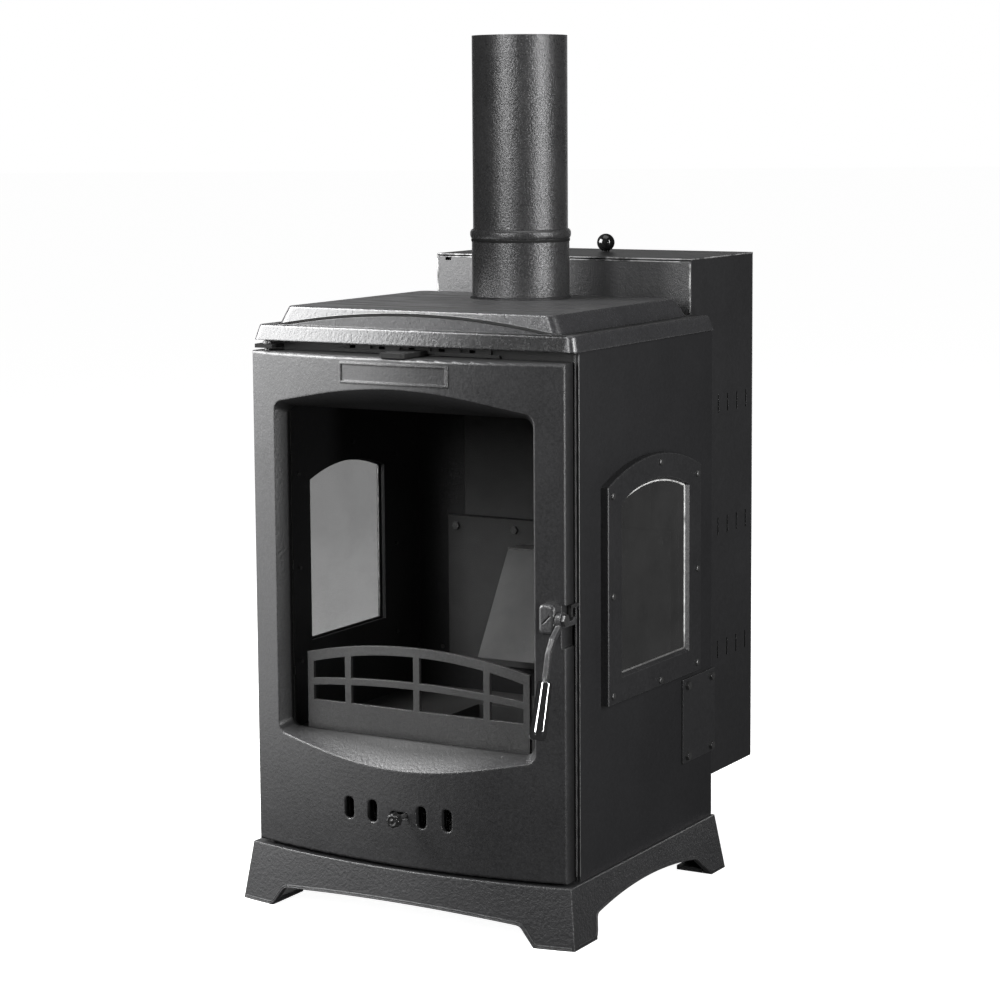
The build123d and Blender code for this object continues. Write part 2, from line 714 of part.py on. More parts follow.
def rib_ring(half_out, half_in, y0, y1):
    """A square ring about the rope's line, between two half widths."""
    out = half_out - ROPE_HALF_W
    inn = ROPE_HALF_W - half_in
    low = DOOR_LOW + ROPE_EDGE_MARGIN
    high = DOOR_HIGH - ROPE_EDGE_MARGIN
    ring = block(-half_out, half_out, y0, y1, low - out, high + out)
    return ring - block(-half_in, half_in, y0 - 1, y1 + 1, low + inn, high - inn)


def clip_places():
    """(x, z) of the glass clips' screws."""
    x = OPEN_HALF_BACK + GLASS_LAP + CLIP_SCREW_OUT
    middle = (OPEN_LOW + OPEN_HIGH) / 2
    spread = (OPEN_HIGH - OPEN_LOW) / 3
    return [(side * x, middle + step * spread) for side in (-1, 1) for step in (-1, 0, 1)]


def door_casting():
    """Bowed cast door: shell, splayed opening, seal rib, slider pad and hinge bosses."""
    outer = door_block()
    front = outer.edges().filter_by(lambda edge: edge.center().Y < DOOR_EDGE + 1)
    outer = fillet(front, DOOR_EDGE_R)
    cavity = bowed_plan(DOOR_X - DOOR_SIDE_WALL, DOOR_BACK + 1, DOOR_EDGE + DOOR_WALL,
                        DOOR_FRONT + DOOR_WALL)
    door = outer - Pos(0, 0, DOOR_LOW + DOOR_WALL) * extrude(cavity, amount=DOOR_H - 2 * DOOR_WALL)
    reach = DOOR_FRONT - 10
    inside = rib_ring(ROPE_HALF_W + RIB_W / 2, ROPE_HALF_W - RIB_W / 2, reach, DOOR_BACK)
    inside += opening_loft(DOOR_WALL - 1, DOOR_FRONT - 1, GLASS_PLANE)
    seat_x = ROPE_HALF_W - RIB_W / 2
    margin = seat_x - OPEN_HALF_BACK
    inside += block(-seat_x, seat_x, GLASS_PLANE, SEAT_BACK, OPEN_LOW - margin, OPEN_HIGH + margin)
    inside += block(SLIDE_LEFT - SLIDE_TRAVEL - SLIDE_END_GAP, SLIDE_RIGHT + SLIDE_END_GAP, reach, PAD_BACK,
                    SLOT_MID - SLIDE_H / 2 - RAIL_H, SLOT_MID + SLIDE_H / 2 + RAIL_H)
    for low in (DOOR_LOW, DOOR_HIGH - HINGE_PIN_GRIP):
        inside += rod_z(HINGE_BOSS_R, low, low + HINGE_PIN_GRIP, HINGE_X, HINGE_Y)
    for x, z in clip_places():
        edge = x - math.copysign(CLIP_SCREW_WALL, x)
        wall = math.copysign(seat_x, x)
        inside += block(min(edge, wall), max(edge, wall), SEAT_BACK, GLASS_BACK,
                        z - CLIP_HALF_H, z + CLIP_HALF_H)
    door += outer & inside
    door -= opening_loft(0, DOOR_FRONT - 1, GLASS_PLANE)
    hole = opening(OPEN_HALF_BACK, OPEN_LOW, OPEN_HIGH, 0, 0, OPEN_CORNER_R)
    door -= xz_prism(hole, GLASS_PLANE - 1, GLASS_BACK)
    door += name_border()
    for x in slot_places():
        door -= slot_cut(x, SLOT_W, SLOT_H)
    stud_mid = STUD_X - SLIDE_TRAVEL / 2
    door -= slot_cut(stud_mid, SLIDE_TRAVEL + 2 * STUD_R + 2, 2 * STUD_R + 2)
    door -= block(NOTCH_X, DOOR_X + 1, reach, 0, PIVOT_Z - NOTCH_BELOW, PIVOT_Z + NOTCH_ABOVE)
    for low in (DOOR_LOW - 1, DOOR_HIGH - HINGE_PIN_GRIP):
        door -= rod_z(PIVOT_R + RUN_CLEAR, low, low + HINGE_PIN_GRIP + 1, HINGE_X, HINGE_Y)
    door -= rib_ring(ROPE_HALF_W + ROPE_W / 2, ROPE_HALF_W - ROPE_W / 2, DOOR_BACK - ROPE_SINK, DOOR_BACK + 1)
    for x, z in clip_places():
        door -= rod_y(CLIP_SCREW_R, GLASS_PLANE + 1, GLASS_BACK + 1, x, z)
    return door


def slot_cut(x, width, height):
    """A slot with rounded ends through the door's front and the slider pad."""
    radius = min(width, height) / 2 * SLOT_CORNER_SHARE
    face = fillet(Rectangle(width, height).vertices(), radius)
    return Pos(x, 0, SLOT_MID) * xz_prism(face, DOOR_FRONT - 10, PAD_BACK + 1)


def name_border():
    """Raised bare border on the door's brow, following its bow."""
    mid = DOOR_HIGH - NAME_DROP
    ring = Rectangle(NAME_W, NAME_H) - Rectangle(NAME_W - 2 * NAME_BORDER, NAME_H - 2 * NAME_BORDER)
    bar = Pos(0, 0, mid) * xz_prism(ring, DOOR_FRONT - 10, DOOR_EDGE)
    return bar & (door_block(NAME_PROUD) - door_block())


def door_glass():
    """Flat glass behind the opening."""
    grow = GLASS_LAP
    return block(-OPEN_HALF_BACK - grow, OPEN_HALF_BACK + grow, GLASS_FRONT, GLASS_BACK,
                 OPEN_LOW - grow, OPEN_HIGH + grow)


def door_glass_gasket():
    """Flat tape between the casting and the glass."""
    grow = GLASS_LAP
    ring = block(-OPEN_HALF_BACK - grow, OPEN_HALF_BACK + grow, SEAT_BACK, GLASS_FRONT,
                 OPEN_LOW - grow, OPEN_HIGH + grow)
    grow -= GASKET_W
    return ring - block(-OPEN_HALF_BACK - grow, OPEN_HALF_BACK + grow, SEAT_BACK - 1, GLASS_FRONT + 1,
                        OPEN_LOW - grow, OPEN_HIGH + grow)


def door_glass_clips():
    """Small plates that hold the glass to the casting."""
    clips = []
    for x, z in clip_places():
        inner = x - math.copysign(CLIP_IN, x)
        outer = x + math.copysign(CLIP_OUT, x)
        clip = block(min(inner, outer), max(inner, outer), GLASS_BACK, GLASS_BACK + CLIP_T,
                     z - CLIP_HALF_H, z + CLIP_HALF_H)
        clips.append(clip - rod_y(CLIP_SCREW_R, GLASS_BACK - 1, GLASS_BACK + CLIP_T + 1, x, z))
    return group(clips)


def door_clip_screws():
    """Screws through the clips into the casting."""
    screws = []
    for x, z in clip_places():
        head = GLASS_BACK + CLIP_T
        shank = rod_y(CLIP_SCREW_R, GLASS_PLANE + 1, head, x, z)
        screws.append(shank + rod_y(CLIP_HEAD_R, head, head + CLIP_HEAD_H, x, z))
    return group(screws)


def door_rope_seal():
    """Rope seal in the groove of the door's rib, just clear of the body."""
    return rib_ring(ROPE_HALF_W + ROPE_W / 2, ROPE_HALF_W - ROPE_W / 2,
                    DOOR_BACK - ROPE_SINK, -BODY_Y - ROPE_GAP)


def air_slide_plate():
    """Slotted plate behind the door's air slots, with the stud hole."""
    plate = block(SLIDE_LEFT, SLIDE_RIGHT, PAD_BACK + PLAY, PAD_BACK + PLAY + SLIDE_T,
                  SLOT_MID - SLIDE_H / 2, SLOT_MID + SLIDE_H / 2)
    for x in slot_places():
        plate -= block(x - SLOT_W / 2, x + SLOT_W / 2, PAD_BACK, PAD_BACK + PLAY + SLIDE_T + 1,
                       SLOT_MID - SLOT_H / 2, SLOT_MID + SLOT_H / 2)
    return plate - rod_y(STUD_R, PAD_BACK, PAD_BACK + PLAY + SLIDE_T + 1, STUD_X, SLOT_MID)


def air_slide_rails():
    """Two lipped rails on the door that the plate slides in."""
    back = PAD_BACK + PLAY + SLIDE_T + PLAY
    left = SLIDE_LEFT - SLIDE_TRAVEL - SLIDE_END_GAP
    right = SLIDE_RIGHT + SLIDE_END_GAP
    rails = []
    for side in (-1, 1):
        edge = SLOT_MID + side * (SLIDE_H / 2 + PLAY)
        far = SLOT_MID + side * (SLIDE_H / 2 + RAIL_H - 1)
        lip = edge - side * RAIL_LAP
        rail = block(left, right, PAD_BACK, back + RAIL_T, min(edge, far), max(edge, far))
        rail += block(left, right, back, back + RAIL_T, min(lip, far), max(lip, far))
        rails.append(rail)
    return group(rails)


def air_slide_stud():
    """Threaded stud between the plate and its knob."""
    back = PAD_BACK + PLAY + SLIDE_T
    return rod_y(STUD_R, DOOR_FRONT - KNOB_STAND - STUD_GRIP, back, STUD_X, SLOT_MID)


def air_slide_knob():
    """Star knob of the primary air slide."""
    star = Circle(KNOB_R - KNOB_CORE_IN)
    for step in range(KNOB_POINTS):
        turn = Rot(0, 0, step * 360 / KNOB_POINTS)
        star += turn * Pos(KNOB_R - KNOB_POINT_R, 0) * Circle(KNOB_POINT_R)
    y1 = DOOR_FRONT - KNOB_STAND
    knob = Pos(STUD_X, 0, SLOT_MID) * xz_prism(star, y1 - KNOB_T, y1)
    return knob - rod_y(STUD_R, y1 - STUD_GRIP, y1 + 1, STUD_X, SLOT_MID)


def handle_boss():
    """Rounded block on the door's face that carries the handle's spindle."""
    boss = block(BOSS_RIGHT - BOSS_W, BOSS_RIGHT, DOOR_EDGE - BOSS_PROUD, DOOR_EDGE + 8,
                 PIVOT_Z - BOSS_H / 2, PIVOT_Z + BOSS_H / 2)
    boss = fillet(boss.edges().filter_by(Axis.Y), BOSS_CORNER_R)
    front = boss.edges().filter_by(lambda edge: edge.center().Y < DOOR_EDGE - BOSS_PROUD + 0.1)
    boss = fillet(front, BOSS_EDGE_R)
    groove = Rot(0, 45, 0) * Box(BOSS_SLOT_W, 2 * BOSS_SLOT_DEEP, BOSS_SLOT_L)
    boss -= Pos(BOSS_RIGHT - BOSS_W / 2, DOOR_EDGE - BOSS_PROUD, PIVOT_Z) * groove
    boss -= door_block()
    return boss - rod_x(PIVOT_R, BOSS_RIGHT - BOSS_W + 6, BOSS_RIGHT + 1, PIVOT_Y, PIVOT_Z)


def handle_spindle():
    """Spindle in the boss, with the nut that keeps the lever on."""
    end = LEVER_RIGHT + PLAY
    spindle = rod_x(PIVOT_R, BOSS_RIGHT - BOSS_W + 6, end, PIVOT_Y, PIVOT_Z)
    nut = extrude(Plane.YZ * RegularPolygon(NUT_W / 2, 6, major_radius=False), amount=NUT_H)
    return spindle + Pos(end, PIVOT_Y, PIVOT_Z) * nut


def handle_lever():
    """Flat latch lever: hub, nose with its tooth, bent arm and the tang inside the grip."""
    width = LEVER_RIGHT - LEVER_LEFT
    hub = rod_x(LEVER_HUB_R, NOTCH_X + PLAY, LEVER_RIGHT, PIVOT_Y, PIVOT_Z)
    low = PIVOT_Z - NOSE_DROP
    tip = PIVOT_Y + NOSE_REACH
    nose = ((PIVOT_Y, low), (tip, low), (tip, PIVOT_Z - TOOTH_TOP), (tip - TOOTH_W, PIVOT_Z - TOOTH_TOP),
            (tip - TOOTH_W, low + NOSE_T), (PIVOT_Y, low + NOSE_T))
    lever = hub + yz_prism(nose, LEVER_LEFT, LEVER_RIGHT)
    middle = (LEVER_LEFT + LEVER_RIGHT) / 2
    for (out0, down0), (out1, down1) in zip(LEVER_BENDS, LEVER_BENDS[1:]):
        run = math.hypot(out1 - out0, down1 - down0)
        turn = math.degrees(math.atan2(out1 - out0, down1 - down0))
        bar = Rot(-turn, 0, 0) * Box(width, LEVER_T, run)
        lever += Pos(middle, PIVOT_Y - (out0 + out1) / 2, PIVOT_Z - (down0 + down1) / 2) * bar
        lever += rod_x(LEVER_T / 2, LEVER_LEFT, LEVER_RIGHT, PIVOT_Y - out1, PIVOT_Z - down1)
    lever += grip_rod(LEVER_W / 2, -4, 1)
    lever += grip_rod(TANG_R, 0, TANG_L)
    return lever - rod_x(PIVOT_R + RUN_CLEAR, BOSS_RIGHT, LEVER_RIGHT + 1, PIVOT_Y, PIVOT_Z)


def grip_rod(radius, start, end):
    """A round length on the grip's axis, measured down from the grip's top."""
    out, down = LEVER_BENDS[-1]
    middle = (start + end) / 2 + LEVER_T / 2
    tilt = math.radians(GRIP_TILT)
    y = PIVOT_Y - out - middle * math.sin(tilt)
    z = PIVOT_Z - down - middle * math.cos(tilt)
    bar = Rot(-GRIP_TILT, 0, 0) * Cylinder(radius, end - start)
    return Pos((LEVER_LEFT + LEVER_RIGHT) / 2, y, z) * bar


def handle_grip():
    """Round bright grip on the lever's tang."""
    grip = grip_rod(GRIP_R, 1, 1 + GRIP_L)
    grip = fillet(grip.edges().filter_by(GeomType.CIRCLE), 2)
    return grip - grip_rod(TANG_R, 0, TANG_L)


def latch_keeper():
    """Hooked catch on the front frame that the lever's tooth goes behind."""
    top = PIVOT_Z + KEEPER_TOP
    lip = PIVOT_Y + NOSE_REACH - TOOTH_W - KEEPER_GAP
    hook = ((-BODY_Y, top), (lip - KEEPER_LIP_T, top), (lip - KEEPER_LIP_T, PIVOT_Z + KEEPER_GAP),
            (lip, PIVOT_Z + KEEPER_GAP), (lip, top - KEEPER_T), (-BODY_Y, top - KEEPER_T))
    return yz_prism(hook, LEVER_LEFT + 0.2, LEVER_LEFT + 0.2 + KEEPER_W)


def top_hinge_bracket():
    """Flat lug on the front frame above the door, with the pin's hole."""
    low = DOOR_HIGH + BRACKET_TOP_GAP
    lug = block(HINGE_X - BRACKET_TOP_W / 2, HINGE_X + BRACKET_TOP_W / 2,
                -BODY_Y - BRACKET_TOP_REACH, -BODY_Y, low, low + BRACKET_TOP_T)
    return lug - rod_z(PIVOT_R, low - 1, low + BRACKET_TOP_T + 1, HINGE_X, HINGE_Y)


def hinge_pins():
    """Upper pin in its lug and lower pin in the base, both reaching into the door."""
    head = DOOR_HIGH + BRACKET_TOP_GAP + BRACKET_TOP_T
    upper = rod_z(PIVOT_R, DOOR_HIGH - HINGE_PIN_GRIP + HINGE_PIN_END, head, HINGE_X, HINGE_Y)
    upper += rod_z(PIN_HEAD_R, head, head + PIN_HEAD_H, HINGE_X, HINGE_Y)
    lower = rod_z(PIVOT_R, BASE_H - PIN_SINK, DOOR_LOW + HINGE_PIN_GRIP - 2 * HINGE_PIN_END,
                  HINGE_X, HINGE_Y)
    return group([upper, lower])


def hinge_washer():
    """Washer on the base that carries the door."""
    ring = rod_z(WASHER_R, BASE_H, DOOR_LOW - PLAY, HINGE_X, HINGE_Y)
    return ring - rod_z(PIVOT_R, BASE_H - 1, DOOR_LOW, HINGE_X, HINGE_Y)


def wash_hole_places():
    """X of the air holes in the frame above the door."""
    return [step * WASH_HOLE_PITCH for step in (-2, -1, 0, 1, 2)]


def air_wash_slider():
    """Strip half over the air holes, with the tab that stands out over the door."""
    y1 = -BODY_Y - PLAY
    strip = block(-WASH_W / 2, WASH_W / 2, y1 - WASH_T, y1, WASH_LOW, WASH_LOW + WASH_H)
    for x in wash_hole_places():
        x -= WASH_TRAVEL
        strip -= block(x - WASH_HOLE_W / 2, x + WASH_HOLE_W / 2, y1 - WASH_T - 1, y1 + 1,
                       WASH_MID - WASH_HOLE_H / 2, WASH_MID + WASH_HOLE_H / 2)
    low = DOOR_HIGH + TAB_GAP
    tab = block(-TAB_W / 2, TAB_W / 2, DOOR_FRONT - TAB_PROUD, y1, low, low + TAB_T)
    front = tab.edges().filter_by(Axis.Z).group_by(Axis.Y)[0]
    return strip + fillet(front, TAB_CORNER_R)


def air_wash_rails():
    """Lower rails on both sides of the tab and one upper rail that guide the strip."""
    front = -BODY_Y - PLAY - WASH_T - PLAY - WASH_RAIL_T
    end = WASH_W / 2 + WASH_TRAVEL + 2
    low = WASH_LOW - PLAY
    high = WASH_LOW + WASH_H + PLAY
    rails = []
    gap = TAB_W / 2 + WASH_TRAVEL + 2
    for x0, x1 in ((-end, -gap), (gap, end)):
        rail = block(x0, x1, front, -BODY_Y, low - WASH_RAIL_T, low)
        rails.append(rail + block(x0, x1, front, front + WASH_RAIL_T, low - WASH_RAIL_T, low + WASH_RAIL_LAP))
    rail = block(-end, end, front, -BODY_Y, high, BODY_TOP)
    rails.append(rail + block(-end, end, front, front + WASH_RAIL_T, high - WASH_RAIL_LAP, BODY_TOP))
    return group(rails)


def air_wash_channel():
    """Folded sheet inside the frame that turns the air down over the glass."""
    back = -IN_Y + CHANNEL_D
    low = BODY_TOP - CHANNEL_DROP
    sheet = block(-CHANNEL_HALF, CHANNEL_HALF, back, back + CHANNEL_T, low, BODY_TOP)
    for side in (-1, 1):
        x0 = side * CHANNEL_HALF
        x1 = side * (CHANNEL_HALF - CHANNEL_T)
        sheet += block(min(x0, x1), max(x0, x1), -IN_Y, back, low, BODY_TOP)
    return sheet


def window_screw_places():
    """(y, z) of a window frame's screws."""
    low = BASE_H + WIN_LOW - WIN_BAND_LOW + WIN_SCREW_INSET
    high = BASE_H + WIN_SPRING + WIN_ARC_BAND - WIN_SCREW_INSET
    side = WIN_HALF + WIN_BAND - WIN_SCREW_INSET
    top = BASE_H + WIN_SPRING + WIN_ARC_BAND + WIN_ARC_RISE - WIN_SCREW_INSET
    places = [(s * side, z) for s in (-1, 1) for z in (low, (low + high) / 2, high)]
    return places + [(WIN_MID_SCREW_Y, low - 4), (WIN_MID_SCREW_Y, top)]


def window_frame():
    """Thick arched cast frame outside the right panel, rebated for the glass."""
    outer = arched(WIN_HALF + WIN_BAND, BASE_H + WIN_LOW - WIN_BAND_LOW,
                   BASE_H + WIN_SPRING + WIN_ARC_BAND, WIN_ARC_RISE)
    front = BODY_X + WIN_T
    frame = yz_face_prism(outer, BODY_X, front)
    frame = chamfer(frame.faces().sort_by(Axis.X)[-1].edges(), 1)
    frame -= yz_face_prism(window_outline(0), BODY_X - 1, front + 1)
    seat = WIN_LAP + WIN_SEAT_CLEAR
    frame -= yz_face_prism(window_outline(seat), BODY_X - 1, BODY_X + GASKET_T + WIN_GLASS_T)
    bevel = [Pos(front - WIN_BEVEL, 0, 0) * (Plane.YZ * window_outline(0)),
             Pos(front + 0.01, 0, 0) * (Plane.YZ * window_outline(WIN_BEVEL))]
    frame -= loft(bevel)
    for y, z in window_screw_places():
        frame -= rod_x(SCREW_R, BODY_X - 1, front + 1, y, z)
    return frame


def side_glass():
    """Arched glass in the frame's rebate."""
    start = BODY_X + GASKET_T
    return yz_face_prism(window_outline(WIN_LAP), start, start + WIN_GLASS_T)


def side_glass_gasket():
    """Tape between the side panel and the glass."""
    tape = yz_face_prism(window_outline(WIN_LAP), BODY_X, BODY_X + GASKET_T)
    return tape - yz_face_prism(window_outline(WIN_LAP - GASKET_W), BODY_X - 1, BODY_X + GASKET_T + 1)


def window_screws():
    """Round-head screws of one window frame."""
    front = BODY_X + WIN_T
    screws = []
    for y, z in window_screw_places():
        head = rod_x(SCREW_HEAD_R, front, front + SCREW_HEAD_H, y, z)
        head = fillet(head.edges().group_by(Axis.X)[-1], SCREW_HEAD_H * 0.7)
        screws.append(head + rod_x(SCREW_R, IN_X - SCREW_DEPTH, front, y, z))
    return screws


def firebox_floor():
    """Plate that carries the burn pot above the ash pan."""
    floor = block(-IN_X, IN_X, -IN_Y, IN_Y, FLOOR_LOW, FLOOR_TOP)
    hole = POT_HALF + POT_PLAY
    return floor - block(-hole, hole, POT_Y - hole, POT_Y + hole, FLOOR_LOW - 1, FLOOR_TOP + 1)


def burn_pot():
    """Cast pot hung by its flange, with ash slots in its floor."""
    low = FLOOR_TOP - POT_DEEP
    wide = POT_HALF + POT_FLANGE
    pot = block(-POT_HALF, POT_HALF, POT_Y - POT_HALF, POT_Y + POT_HALF, low, FLOOR_TOP)
    pot += block(-wide, wide, POT_Y - wide, POT_Y + wide, FLOOR_TOP, FLOOR_TOP + POT_WALL)
    inner = POT_HALF - POT_WALL
    pot -= block(-inner, inner, POT_Y - inner, POT_Y + inner, low + POT_WALL, FLOOR_TOP + 2 * POT_WALL)
    run = inner - POT_SLOT_END
    for step in range(POT_SLOT_COUNT):
        y = POT_Y + (step - (POT_SLOT_COUNT - 1) / 2) * POT_SLOT_PITCH
        pot -= block(-run, run, y - POT_SLOT_W / 2, y + POT_SLOT_W / 2, low - 1, low + POT_WALL + 1)
    return pot


def ash_pan():
    """Open sheet pan under the pot, above the frame's lower bar."""
    low = BASE_H + ASH_OPEN_LOW + PAN_REST_LIFT
    y0 = -IN_Y + PAN_FRONT_CLEAR
    y1 = IN_Y - PAN_BACK_CLEAR
    pan = block(-PAN_HALF, PAN_HALF, y0, y1, low, low + PAN_H)
    inner = PAN_SHEET
    return pan - block(-PAN_HALF + inner, PAN_HALF - inner, y0 + inner, y1 - inner,
                       low + inner, low + PAN_H + 1)


def ash_pan_rests():
    """Two folded runners that lift the pan over the frame's lower bar."""
    low = BASE_H + BODY_SHEET
    high = BASE_H + ASH_OPEN_LOW + PAN_REST_LIFT
    rests = []
    for side in (-1, 1):
        x0 = side * PAN_HALF
        x1 = side * (PAN_HALF - PAN_REST_W)
        rest = block(min(x0, x1), max(x0, x1), -IN_Y, IN_Y - PAN_BACK_CLEAR, low, high)
        x0 -= side * PAN_SHEET
        x1 += side * PAN_SHEET
        rest -= block(min(x0, x1), max(x0, x1), -IN_Y - 1, IN_Y, low - 1, high - PAN_SHEET)
        rests.append(rest)
    return group(rests)


def baffle_line(drop):
    """Height of the baffle's underside line at its back and front, less a drop."""
    return BASE_H + BAFFLE_BACK_Z - drop, BASE_H + BAFFLE_FRONT_Z - drop


def baffle_plate():
    """Sloping plate under the flue that turns the fire's gases forward."""
    back_z, front_z = baffle_line(0)
    points = ((IN_Y, back_z), (BAFFLE_FRONT_Y, front_z), (BAFFLE_FRONT_Y, front_z + BAFFLE_T),
              (IN_Y, back_z + BAFFLE_T))
    return yz_prism(points, -IN_X + BAFFLE_SIDE_GAP, IN_X - BAFFLE_SIDE_GAP)


def baffle_rests():
    """Bars on the side panels under the baffle's edges."""
    back_z, front_z = baffle_line(0)
    under_back, under_front = baffle_line(BAFFLE_T)
    points = ((IN_Y, back_z), (BAFFLE_FRONT_Y, front_z), (BAFFLE_FRONT_Y, under_front), (IN_Y, under_back))
    right = yz_prism(points, IN_X - BAFFLE_REST_W, IN_X)
    return group([right, mirrored(right)])


def rear_liner():
    """Cast liner on the back wall above the chute."""
    return block(-LINER_HALF, LINER_HALF, IN_Y - LINER_T, IN_Y, BASE_H + LINER_LOW, BASE_H + LINER_HIGH)


def chute_plate():
    """Cast plate on the back wall around the feed chute."""
    plate = block(-CHUTE_PLATE_HALF, CHUTE_PLATE_HALF, IN_Y - CHUTE_PLATE_T, IN_Y,
                  BASE_H + CHUTE_PLATE_LOW, BASE_H + CHUTE_PLATE_HIGH)
    fall = (CHUTE_BACK_LOW - CHUTE_MOUTH_LOW) / (CHUTE_REACH - CHUTE_MOUTH)
    plate -= chute_opening(IN_Y - CHUTE_PLATE_T - 1, IN_Y + 1, CHUTE_PLATE_T * fall)
    for x, z in chute_bolt_places():
        plate -= rod_y(BOLT_R, IN_Y - CHUTE_PLATE_T - 1, IN_Y + 1, x, z)
    return plate


def chute_bolt_places():
    """(x, z) of the bolts along the chute plate's top edge."""
    z = BASE_H + CHUTE_PLATE_HIGH - CHUTE_BOLT_DROP
    wide = CHUTE_PLATE_HALF - CHUTE_BOLT_IN
    return [(x, z) for x in (-wide, -CHUTE_BOLT_MID, CHUTE_BOLT_MID, wide)]


def chute_plate_bolts():
    """Hexagon bolts of the chute plate."""
    face = IN_Y - CHUTE_PLATE_T
    bolts = []
    for x, z in chute_bolt_places():
        head = xz_prism(RegularPolygon(BOLT_HEAD_R, 6), face - BOLT_HEAD_H, face)
        bolts.append(Pos(x, 0, z) * head + rod_y(BOLT_R, face, IN_Y, x, z))
    return group(bolts)


def chute_outline(wall):
    """The chute's side view in (y, z), drawn in by its sheet."""
    top = CHUTE_TOP - wall
    low = CHUTE_MOUTH_LOW
    back = HOP_FRONT + BIN_FRONT_GAP - CHUTE_CLEAR
    reach = IN_Y - CHUTE_REACH
    over = wall * 1.45
    points = ((back, top), (IN_Y - CHUTE_SHELF - wall * 0.5, top), (reach + over, low),
              (reach + CHUTE_MOUTH - over, low), (IN_Y + wall * 0.4, CHUTE_BACK_LOW + wall),
              (back, CHUTE_BACK_LOW + wall))
    return points


def feed_chute():
    """Square chute from the hopper's outlet down over the burn pot."""
    outer = yz_prism(chute_outline(0), -CHUTE_HALF, CHUTE_HALF)
    wall = CHUTE_SHEET
    inner = yz_prism(chute_outline(wall), -CHUTE_HALF + wall, CHUTE_HALF - wall)
    mouth = CHUTE_MOUTH_LOW
    back = HOP_FRONT + BIN_FRONT_GAP
    points = chute_outline(wall)
    low_y = points[2][0]
    high_y = points[3][0]
    inner += block(-CHUTE_HALF + wall, CHUTE_HALF - wall, low_y, high_y, mouth - 1, mouth + 0.01)
    inner += block(-CHUTE_HALF + wall, CHUTE_HALF - wall, back - 2, back + 1, CHUTE_BACK_LOW + wall,
                   CHUTE_TOP - wall)
    return outer - inner


def chute_opening(y0, y1, drop=0.0):
    """The hole for the chute through the walls it passes, lower by a drop where it slopes."""
    gap = CHUTE_CLEAR
    return block(-CHUTE_HALF - gap, CHUTE_HALF + gap, y0, y1, CHUTE_BACK_LOW - drop - gap, CHUTE_TOP + gap)


def front_retainer():
    """Arched cast grille that keeps the fire back, on lugs against the front frame."""
    low = BASE_H + RETAINER_LOW
    end = low + RETAINER_END_H
    outline = arched(RETAINER_HALF, low, end, RETAINER_RISE)
    bays = arched(RETAINER_HALF - RETAINER_BAR, low + RETAINER_PLATE_H,
                  end - RETAINER_BAR - RETAINER_SHOULDER, RETAINER_RISE)
    mid = low + RETAINER_MID_H
    rail = arched(RETAINER_HALF, low, mid + RETAINER_BAR, RETAINER_MID_RISE)
    rail -= arched(RETAINER_HALF, low, mid, RETAINER_MID_RISE)
    bays -= rail
    tall = RETAINER_END_H + RETAINER_RISE
    for x in (-RETAINER_BAY, 0, RETAINER_BAY):
        bays -= Pos(x, low + tall / 2) * Rectangle(RETAINER_BAR, tall)
    y1 = -BODY_Y - RETAINER_GAP
    grille = xz_prism(outline - bays, y1 - RETAINER_T, y1)
    for side in (-1, 1):
        x = side * RETAINER_LUG_X
        grille += block(x - RETAINER_LUG_W / 2, x + RETAINER_LUG_W / 2, y1, -BODY_Y,
                        low, BASE_H + FIRE_OPEN_LOW)
    return grille


def hopper_front_panel():
    """Hopper's front sheet, a little short of the cover, with the chute opening."""
    panel = block(-HOP_X, HOP_X, HOP_FRONT, HOP_FRONT + HOPPER_SHEET, HOPPER_LOW, COVER_LOW - COVER_GAP)
    panel -= chute_opening(HOP_FRONT - 1, HOP_FRONT + HOPPER_SHEET + 1)
    top = COVER_LOW - COVER_GAP
    panel -= block(-PANEL_NOTCH_X - PANEL_NOTCH_W / 2, -PANEL_NOTCH_X + PANEL_NOTCH_W / 2,
                   HOP_FRONT - 1, HOP_FRONT + HOPPER_SHEET + 1, top - PANEL_NOTCH_H, top + 1)
    gap = HOPPER_TOP - CORNER_GAP_DROP
    panel -= block(HOP_X - CORNER_GAP_W, HOP_X + 1, HOP_FRONT - 1, HOP_FRONT + HOPPER_SHEET + 1,
                   gap - CORNER_GAP_H / 2, gap + CORNER_GAP_H / 2)
    for x, z in rear_bolt_places():
        panel -= rod_y(BOLT_R, HOP_FRONT - 1, HOP_FRONT + HOPPER_SHEET + 1, x, z)
    return panel


def hopper_side_panel():
    """Hopper's right sheet with three rows of upright vent slots."""
    panel = block(HOP_X - HOPPER_SHEET, HOP_X, HOP_FRONT + HOPPER_SHEET, HOP_BACK - HOPPER_SHEET,
                  HOPPER_LOW, COVER_LOW)
    for row in LOUVRE_ROWS:
        for step in range(LOUVRE_COUNT):
            y = HOP_FRONT + LOUVRE_FIRST + step * LOUVRE_PITCH
            z = HOPPER_LOW + row
            panel -= block(HOP_X - 5, HOP_X + 1, y - LOUVRE_W / 2, y + LOUVRE_W / 2,
                           z - LOUVRE_H / 2, z + LOUVRE_H / 2)
    return panel


def hopper_rear_panel():
    """Hopper's back sheet."""
    return block(-HOP_X, HOP_X, HOP_BACK - HOPPER_SHEET, HOP_BACK, HOPPER_LOW, COVER_LOW)


def hopper_bottom_panel():
    """Hopper's floor sheet."""
    inner = HOP_X - HOPPER_SHEET
    return block(-inner, inner, HOP_FRONT + HOPPER_SHEET, HOP_BACK - HOPPER_SHEET,
                 HOPPER_LOW, HOPPER_LOW + HOPPER_SHEET)


def lid_hole(grow, z0, z1):
    """The filling hole, grown or shrunk by a margin."""
    return block(-LID_W / 2 - grow, LID_W / 2 + grow, LID_FRONT - grow, LID_FRONT + LID_D + grow, z0, z1)


